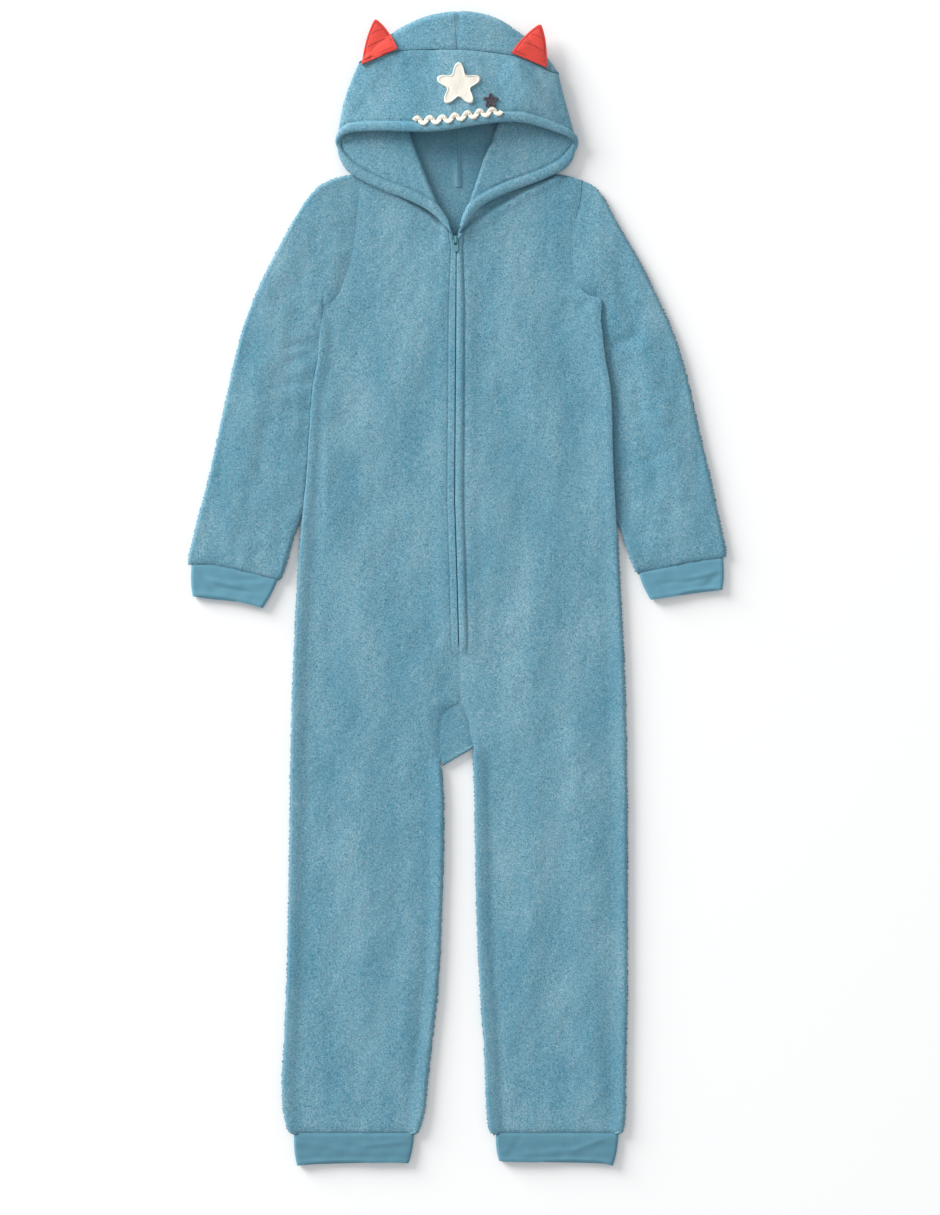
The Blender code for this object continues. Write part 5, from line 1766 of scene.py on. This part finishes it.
    def make_crown(self, side: Side) -> Object:
        """Half of the hood's back, with its centre seam, its bound seam inside and its pile.

        Args:
            side: the half.

        Returns:
            The shell.
        """
        grid, columns = self.crown_grid(side), self.crown_lines
        x, up, z = (grid[..., i] for i in range(3))
        steps = np.linalg.norm(np.diff(grid, axis=1), axis=2)
        walked = np.concatenate([np.zeros((columns, 1)), np.cumsum(steps, axis=1)], axis=1)
        to_brow = walked[:, -1:] - walked
        on_top = ease(75, 50, to_brow)
        z = z + on_top * ease(0, 20, to_brow) * (0.8 * waves(x, up, 40, 19)
                                                 + 0.3 * waves(x, up, 15, 20))
        middle = world(x, up, z)
        n = normals(middle) * (1 if side is Side.RIGHT else -1)
        if n[columns // 2, 10, 2] > 0:
            n = -n
        centre_line = np.abs(x - blend(-2.0, 1.0, ease(0, 160, walked)))
        out_half = (self.wall_half - 0.9 * on_top * hump(centre_line, 2.2)
                    - 0.7 * hump(to_brow, 2.2))
        in_half = self.wall_half + 2.4 * (1 - on_top) * hump(np.abs(x - x[:1]) - 0.8, 2.0)
        outer, inner = middle + n * out_half[..., None] * MM, middle - n * in_half[..., None] * MM
        outer[..., 2] = np.maximum(outer[..., 2], 0.0)
        press = np.clip(0.6 * on_top * hump(centre_line, 1.6) + 0.6 * hump(to_brow, 1.8), 0, 1)
        name = f"hood_crown_{side.value}"
        # the inner surface gets painted shade of 0.4
        piece = grid_shell(name + "_shell", outer, inner, press=press, inside=0.4)
        pile = Pile(seed=71 + side.sign)
        pile.add(outer, press)
        pile.add(outer[:, ::-1], press[:, ::-1])
        pile.add_edge(outer[6:, 40], (0, 1, 0), 1.2)
        mouth = inner[: columns // 2, :26]
        # painted shade inside the hood's mouth
        shade = np.full(mouth.shape[:2], 0.4)
        pile.add(mouth, shade)
        pile.add(mouth[:, ::-1], shade)
        tufts = self.cover(piece, name, pile)
        return piece

    def build(self) -> list[Object]:
        """Makes the hood and gives the pieces that the trimmings lie on."""
        crowns = [self.make_crown(side) for side in Side]
        return [self.make_band(), *crowns]


# ---- trimmings --------------------------------------------------------------
class Ground:
    """The top of some pieces: how high it is at a place."""

    def __init__(self, pieces: Sequence[Object]) -> None:
        """Reads the pieces' surfaces once.

        Args:
            pieces: objects with their place in their mesh.
        """
        self.trees = []
        for piece in pieces:
            mesh = piece.data
            points = [v.co.copy() for v in mesh.vertices]
            faces = [list(p.vertices) for p in mesh.polygons]
            self.trees.append(BVHTree.FromPolygons(points, faces))

    def height(self, x: Array, up: Array, lowest: float = 0.0) -> Array:
        """Heights in millimetres at places, and never less than the lowest.

        Args:
            x, up: places in millimetres.
            lowest: the height where nothing is hit.

        Returns:
            One height for each place.
        """
        result = []
        for px, pu in zip(np.ravel(x), np.ravel(up)):
            above = Vector((px * MM, (pu - LENGTH / 2) * MM, 1.0))
            hits = [tree.ray_cast(above, Vector((0, 0, -1)))[0] for tree in self.trees]
            result.append(max([hit.z / MM for hit in hits if hit is not None] + [lowest]))
        return np.array(result).reshape(np.shape(x))


@dataclass
class Trimmings:
    """The felt ears and stars, and the braid."""

    ground: Ground
    dresser: Dresser
    red: Material
    red_thread: Material
    cream: Material
    cream_thread: Material
    charcoal: Material
    lie: float = 1.2
    stitch: tuple[float, float, float] = (2.2, 1.7, 0.32)
    ear_hem: float = 0.84
    satin_width: float = 1.9
    braid_span: tuple[float, float] = (-50.0, 54.0)
    braid_waves: int = 7
    braid_wave: float = 3.4
    braid_above: float = 13.0
    braid_half: float = 2.8
    ear_base: dict = both(((-113, 1317), (-70, 1335)), ((66, 1330), (108, 1313)))
    ear_tip: dict = both((-97, 1372), (101, 1366))

    def patch(self, outline: Array, shape: Callable[[Array, Array], Array], rings: int,
              thickness: float, lowest: float = 0.0) -> tuple[Array, Array, Array]:
        """A flat piece that follows the ground, as rings about its middle.

        Args:
            outline: the edge, a closed row of places in millimetres.
            shape: relief as a function of the ring's share and the place round it.
            rings: how many rings.
            thickness: the piece's thickness.
            lowest: the ground is never taken lower than this.

        Returns:
            Upper points, lower points and cells.
        """
        middle = outline.mean(axis=0)
        share = np.linspace(0, 1, rings + 1) ** 0.8
        place = middle + (outline - middle)[None] * share[:, None, None]
        z = self.ground.height(place[..., 0], place[..., 1], lowest)
        for _ in range(3):
            wide = np.pad(z, ((1, 1), (0, 0)), mode="edge")
            ring = (np.roll(z, 1, axis=1) + np.roll(z, -1, axis=1) + wide[:-2] + wide[2:]) / 4
            z = np.maximum(z, ring)
        z[0] = z[0].mean()
        around = np.linspace(0, 1, outline.shape[0], endpoint=False)
        relief = shape(share[:, None], around[None])
        top = world(place[..., 0], place[..., 1], z + self.lie + thickness + relief)
        low = world(place[..., 0], place[..., 1], z + self.lie * 0.4)
        return top, low, grid_quads(*top.shape[:2], closed=True)

    def ear_outline(self, side: Side) -> Array:
        """A rounded triangle on the brow seam: two curved sides and a soft tip.

        Args:
            side: the ear.

        Returns:
            A closed row of places.
        """
        a, b = (np.array(p, float) for p in self.ear_base[side])
        tip = np.array(self.ear_tip[side], float)
        t = np.linspace(0, 1, 40)[:, None]
        swell = (b - a) * 0.14
        rise_by, fall_by = blend(a, tip, 0.62) - swell, blend(b, tip, 0.62) + swell
        start, stop = blend(tip, rise_by, 0.16), blend(tip, fall_by, 0.16)
        rise, fall = bend(a, rise_by, start, t), bend(stop, fall_by, b, t)
        cap = bend(start, tip, stop, np.linspace(0, 1, 10)[1:-1, None])
        base = blend(b, a, np.linspace(0, 1, 24)[1:-1, None])
        return np.vstack([rise, cap, fall, base])

    def stitches(self, name: str, path: Array, height: Callable[[Array, Array], Array],
                 pitch: float, length: float, radius: float) -> Object:
        """Running stitches along a path: short six-sided capsules.

        Args:
            name: the piece's name.
            path: places in millimetres.
            height: the height of the thread's middle at places.
            pitch, length, radius: the stitches' spacing and size.

        Returns:
            The object.
        """
        total = path_length(path)
        count = max(int(total / pitch), 2)
        centre = (np.arange(count) + 0.5) / count
        half = length / total / 2
        s = centre[:, None] + half * np.array([-1.0, -0.75, 0, 0.75, 1.0])
        flat = along(path, s.ravel()).reshape(count, 5, 2)
        z = height(flat[..., 0], flat[..., 1])
        z = z + np.array([-1.0, -0.2, 0.25, -0.2, -1.0]) * radius
        spine = np.concatenate([flat, z[..., None]], axis=2)
        way = unit(np.gradient(spine, axis=1))
        side = unit(np.cross(way, np.array([0, 0, 1.0])))
        over = np.cross(side, way)
        angle = np.linspace(0, 2 * math.pi, 6, endpoint=False)
        size = np.array([0.35, 0.9, 1.0, 0.9, 0.35])[None, :, None, None] * radius
        cos, sin = (v[None, None, :, None] for v in (np.cos(angle), np.sin(angle)))
        ring = spine[:, :, None] + size * (side[:, :, None] * cos + over[:, :, None] * sin)
        quads = grid_quads(5, 6, closed=True)
        caps = np.array([[0, 1, 2, 3], [0, 3, 4, 5], [27, 26, 25, 24], [29, 28, 27, 24]])
        cells = np.vstack([quads[:, ::-1], caps])
        parts = [(world(*np.moveaxis(r.reshape(-1, 3), 1, 0)), cells) for r in ring]
        if enclosed(*parts[0]) < 0:
            parts = [(p, f[:, ::-1]) for p, f in parts]
        points, faces = joined(parts)
        return add_mesh(name, points, faces)

    def make_ear(self, side: Side) -> None:
        """An ear: two felt layers, slightly puffed, with a stitched line inside the edge.

        Args:
            side: the ear.
        """
        outline = self.ear_outline(side)

        def puff(share: Array, around: Array) -> Array:
            """A soft swell that ends in a thin stitched edge."""
            edge = 0.5 * hump(share - self.ear_hem, 0.03)
            return 1.5 * np.clip(1 - share**3, 0, 1) - edge + 0 * around

        top, low, quads = self.patch(outline, puff, 22, 2 * FELT, 14.0)
        name = f"ear_{side.value}"
        piece = shell(name + "_felt", top, low, quads)
        self.dresser.dress(piece, self.red, Slot.RED, name)
        middle = outline.mean(axis=0)
        inset = middle + (outline - middle) * self.ear_hem
        ground = Ground([piece])
        for label, path in (("edge", np.vstack([inset[-8:], inset[:-30]])),
                            ("band", self.ear_band(side, 0.36)),
                            ("fold", self.ear_band(side, 0.64))):
            thread = self.stitches(f"{name}_{label}_stitches", path,
                                   lambda x, up: ground.height(x, up) + 0.12, *self.stitch)
            self.dresser.dress(thread, self.red_thread, Slot.RED)

    def ear_band(self, side: Side, share: float) -> Array:
        """A curved line across the ear at a share of its height.

        Args:
            side: the ear.
            share: 0 at the seam and 1 at the tip.

        Returns:
            A row of places.
        """
        a, b = (np.array(p, float) for p in self.ear_base[side])
        tip = np.array(self.ear_tip[side], float)
        start, stop = blend(a, tip, share), blend(b, tip, share)
        middle = (start + stop) / 2 + (tip - (a + b) / 2) * 0.07
        return bend(start, middle, stop, np.linspace(0.06, 0.94, 20)[:, None])

    def make_star(self, name: str, x: float, up: float, radius: float,
                  felt: Material, slot: Slot, threads: int) -> None:
        """A felt star with a satin-stitched edge.

        Args:
            name: the solid it stands for.
            x, up: its middle.
            radius: from the middle to a tip.
            felt: its material.
            slot: the record's slot.
            threads: stitches round its edge.
        """
        angle = np.linspace(0, 2 * math.pi, threads * 2, endpoint=False) + math.pi / 2
        wave = 0.5 + 0.5 * np.cos(5 * (angle - math.pi / 2))
        reach = radius * (0.55 + 0.45 * wave**1.3)
        outline = np.stack([x + reach * np.cos(angle), up + reach * np.sin(angle)], axis=1)
        rim = self.satin_width / radius

        def satin(share: Array, around: Array) -> Array:
            """A round raised edge of side-by-side threads.

            Args:
                share: 0 in the middle and 1 at the edge.
                around: shares of a turn.

            Returns:
                The relief in millimetres.
            """
            ridge = np.clip(1 - ((share - 1 + rim) / rim) ** 2, 0, 1)
            comb = 0.5 + 0.5 * np.cos(around * 2 * math.pi * threads)
            return ridge * (0.55 + 0.22 * comb) - 0.5 * hump(share - 1, 0.02)

        top, low, quads = self.patch(outline, satin, 26, FELT * 0.6)
        piece = shell(name + "_felt", top, low, quads)
        self.dresser.dress(piece, felt, slot, name)

    def make_braid(self, hood: Hood) -> None:
        """A wavy braid along the brim: a rounded ribbon with slanting threads.

        Args:
            hood: the hood, whose table gives the brim.
        """
        brim = np.array(hood.band, float)[9:20]
        x = np.linspace(*self.braid_span, self.braid_waves * 40 + 1)
        phase = (x - x[0]) / (x[-1] - x[0]) * self.braid_waves * 2 * math.pi
        up = np.interp(x, brim[:, 0], brim[:, 1]) + self.braid_above
        up += self.braid_wave * np.sin(phase)
        slope = np.gradient(up, x)
        n = unit(np.stack([-slope, np.ones_like(slope)], axis=1))
        across = np.linspace(-1, 1, 15)
        reach = n[:, None] * across[None, :, None] * self.braid_half
        place = np.stack([x, up], axis=1)[:, None] + reach
        z = self.ground.height(place[..., 0], place[..., 1])
        for _ in range(2):
            wide = np.pad(z, 1, mode="edge")
            z = np.maximum(z, (wide[:-2, 1:-1] + wide[2:, 1:-1] + wide[1:-1, :-2]
                               + wide[1:-1, 2:]) / 4)
        crown = np.sqrt(np.clip(1 - across**2, 0, 1))
        plait = 0.16 * np.cos((x[:, None] * 2.4 + np.abs(across)[None] * 4.2))
        top = world(place[..., 0], place[..., 1], z + self.lie + 0.5 + 1.0 * crown + plait * crown)
        low = world(place[..., 0], place[..., 1], z + 0.5)
        piece = grid_shell("braid_ribbon", top, low)
        self.dresser.dress(piece, self.cream_thread, Slot.BRAID, "braid")

    def build(self, hood: Hood) -> None:
        """Makes every trimming.

        Args:
            hood: the hood that the braid follows.
        """
        for side in Side:
            self.make_ear(side)
        self.make_star("star_large", 3.0, 1291.0, 27.0, self.cream, Slot.CREAM, 150)
        self.make_star("star_small", 41.0, 1272.0, 9.5, self.charcoal, Slot.CHARCOAL, 60)
        self.make_braid(hood)


# ---- zip --------------------------------------------------------------------
@dataclass
class Zip:
    """The zip: woven tapes, a coil of small teeth, the slider and its tab."""

    pattern: Pattern
    dresser: Dresser
    frame: dict
    plastic: Material
    tape: Material
    pitch: float = 1.7
    tooth_span: tuple[float, float] = (-0.4, 2.0)
    tooth_radii: tuple = (0.5, 0.62, 0.55, 0.4)
    tooth_height: float = 4.45
    tooth_squash: float = 0.8

    def build(self) -> None:
        """Makes the teeth and gives the zip's solids their finishes."""
        ups = np.arange(self.pattern.zip_end + 1, self.pattern.zip_top - 10, self.pitch)
        parts = []
        angle = np.linspace(0, 2 * math.pi, 8, endpoint=False)
        t = np.linspace(*self.tooth_span, 4)
        radius = np.array(self.tooth_radii)[:, None]
        cells = np.vstack([grid_quads(4, 8, closed=True),
                           [[0, 3, 2, 1], [0, 5, 4, 3], [0, 7, 6, 5],
                            [24, 25, 26, 27], [24, 27, 28, 29], [24, 29, 30, 31]]])
        for side in (-1, 1):
            for up in ups + (0.5 * self.pitch if side > 0 else 0):
                line = float(self.pattern.centre_x(up))
                x = line + side * t[:, None] + 0 * angle
                y = up + radius * np.cos(angle)
                z = self.tooth_height + self.tooth_squash * radius * np.sin(angle)
                points = world(x, y, z).reshape(-1, 3)
                parts.append((points, cells if enclosed(points, cells) > 0 else cells[:, ::-1]))
        points, faces = joined(parts)
        teeth = add_mesh("zip_teeth", points, faces)
        self.dresser.dress(teeth, self.plastic, Slot.PLASTIC, "zip_coil")
        for node, material in (("zip_tape_right", self.tape), ("zip_tape_left", self.tape),
                               ("zip_slider", self.plastic), ("zip_pull_tab", self.plastic)):
            solid = self.frame["nodes"][node]
            solid.data.materials.clear()
            solid.data.materials.append(material)
            if material is self.tape:
                solid.data.shade_flat()


# ---- studio -----------------------------------------------------------------
@dataclass
class Studio:
    """A white floor, a soft light from the upper left and the camera overhead."""

    focal: float = 85.0
    sensor: float = 36.0
    frame_height: float = 1.458
    look_at: tuple[float, float] = (0.0164, -0.0222)
    floor_half: float = 6.0
    floor_z: float = -0.0006
    sky: float = 0.66
    key: float = 3630.0
    key_place: tuple[float, float, float] = (-11.24, 8.78, 4.64)
    key_size: float = 9.1

    def build(self) -> None:
        """Makes the floor, the lights and the camera."""
        scene = bpy.context.scene
        scene.view_settings.view_transform = "Standard"
        world_light = bpy.data.worlds.new("studio")
        world_light.use_nodes = True
        background = world_light.node_tree.nodes["Background"]
        background.inputs[0].default_value = (0.97, 0.985, 1.0, 1.0)
        background.inputs[1].default_value = self.sky
        scene.world = world_light
        half, z = self.floor_half, self.floor_z
        corners = [[-half, -half, z], [half, -half, z], [half, half, z], [-half, half, z]]
        floor = add_mesh("floor", np.array(corners), [[0, 1, 2, 3]])
        s = Sheet("paper")
        floor.data.materials.append(s.finish({}, {"Base Color": (0.93, 0.93, 0.93),
                                                  "Roughness": 0.9, "Specular IOR Level": 0.0}))
        key = bpy.data.lights.new("key", "AREA")
        key.shape, key.size = "DISK", self.key_size
        key.energy, key.color = self.key, (1.0, 0.995, 0.985)
        lamp = bpy.data.objects.new("key", key)
        lamp.location = self.key_place
        lamp.rotation_euler = (-Vector(self.key_place)).to_track_quat("-Z", "Y").to_euler()
        scene.collection.objects.link(lamp)
        camera = bpy.data.objects.new("camera", bpy.data.cameras.new("camera"))
        camera.data.lens = self.focal
        camera.data.sensor_width = self.sensor
        camera.data.clip_end = 50
        height = self.frame_height * self.focal / self.sensor
        camera.location = (*self.look_at, height)
        scene.collection.objects.link(camera)
        scene.camera = camera


# ---- the garment ------------------------------------------------------------
# The cuffs' edges as x and up, and their wrinkles in the columns of FRONT_FOLDS.
WRIST_ENDS = {Side.RIGHT: ((-316, 682), (-295, 679), (-258, 675), (-232, 668)),
              Side.LEFT: ((319, 690), (280, 685), (233, 678))}
ANKLES = {Side.RIGHT: ((-199, 38.5), (-46, 38.5)), Side.LEFT: ((199, 38.5), (43, 38.5))}
ANKLE_ENDS = {Side.RIGHT: ((-191, 0), (-161, 2), (-81, 4), (-57, 3)),
              Side.LEFT: ((188, 0), (165, 3), (64, 5), (51, 6))}
WRIST_WRINKLES = {
    Side.RIGHT: ((-280, 698, 26, 3, 0.9, 74), (-262, 690, 24, 3, -0.8, 80),
                 (-250, 702, 20, 3, -0.7, 92), (-298, 700, 14, 4, -0.7, 40)),
    Side.LEFT: ((290, 706, 26, 3, 0.8, -76), (268, 700, 24, 3, -0.8, -84),
                (306, 702, 14, 4, -0.6, -40))}
ANKLE_WRINKLES = {
    Side.RIGHT: ((-150, 22, 40, 4, 0.6, 82), (-90, 26, 26, 3, 0.7, 96),
                 (-176, 14, 16, 3, -0.6, 60)),
    Side.LEFT: ((110, 16, 40, 4, 0.6, -84), (160, 26, 26, 3, 0.7, -70),
                (70, 24, 14, 3, -0.6, -30))}


def main() -> None:
    """Builds the garment and the studio."""
    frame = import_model()
    Studio().build()
    plush = PlushFinish("plush").make()
    pile = PlushFinish("plush_pile", fine=0.6, depth=0.3).make()
    knit = KnitFinish("knit").make()
    # painted shade: the same knit as the wrists, made darker for the ankles
    shaded_ankle_knit = KnitFinish("shaded_ankle_knit", srgb(96, 143, 161), srgb(80, 129, 148)).make()
    red = FeltFinish("red_felt", srgb(232, 84, 74), srgb(204, 60, 53)).make()
    red_thread = ThreadFinish("red_thread", srgb(128, 44, 42), srgb(88, 28, 30)).make()
    cream = FeltFinish("cream_felt", srgb(240, 236, 226), srgb(216, 210, 196)).make()
    cream_thread = ThreadFinish("cream_braid", srgb(240, 235, 222), srgb(206, 198, 182)).make()
    charcoal = FeltFinish("charcoal_felt", srgb(92, 84, 92), srgb(58, 52, 60)).make()
    plastic = PlasticFinish("zip_plastic").make()
    tape = KnitFinish("zip_tape", srgb(96, 150, 172), srgb(74, 124, 146), 0.9).make()

    pattern, dresser = Pattern(), Dresser()
    Body(pattern, dresser, plush, pile).build()
    for side in Side:
        sleeve = Sleeve(pattern, dresser, plush, pile, side)
        sleeve.build()
        Cuff(f"wrist_cuff_{side.value}", sleeve.wrists[side], WRIST_ENDS[side], dresser, knit,
             (0.21, 0.045), wrinkles=WRIST_WRINKLES[side]).build()
        Cuff(f"ankle_cuff_{side.value}", ANKLES[side], ANKLE_ENDS[side], dresser, shaded_ankle_knit,
             (0.31, 0.045), inset=(0.03, 0.03), wrinkles=ANKLE_WRINKLES[side]).build()
    hood = Hood(pattern, dresser, plush, pile)
    ground = Ground(hood.build())
    Trimmings(ground, dresser, red, red_thread, cream, cream_thread, charcoal).build(hood)
    Zip(pattern, dresser, frame, plastic, tape).build()
    log.info("%d pieces", len(dresser.pieces))


if __name__ == "__main__":
    logging.basicConfig(level=logging.INFO, format="%(name)s %(message)s")
    main()
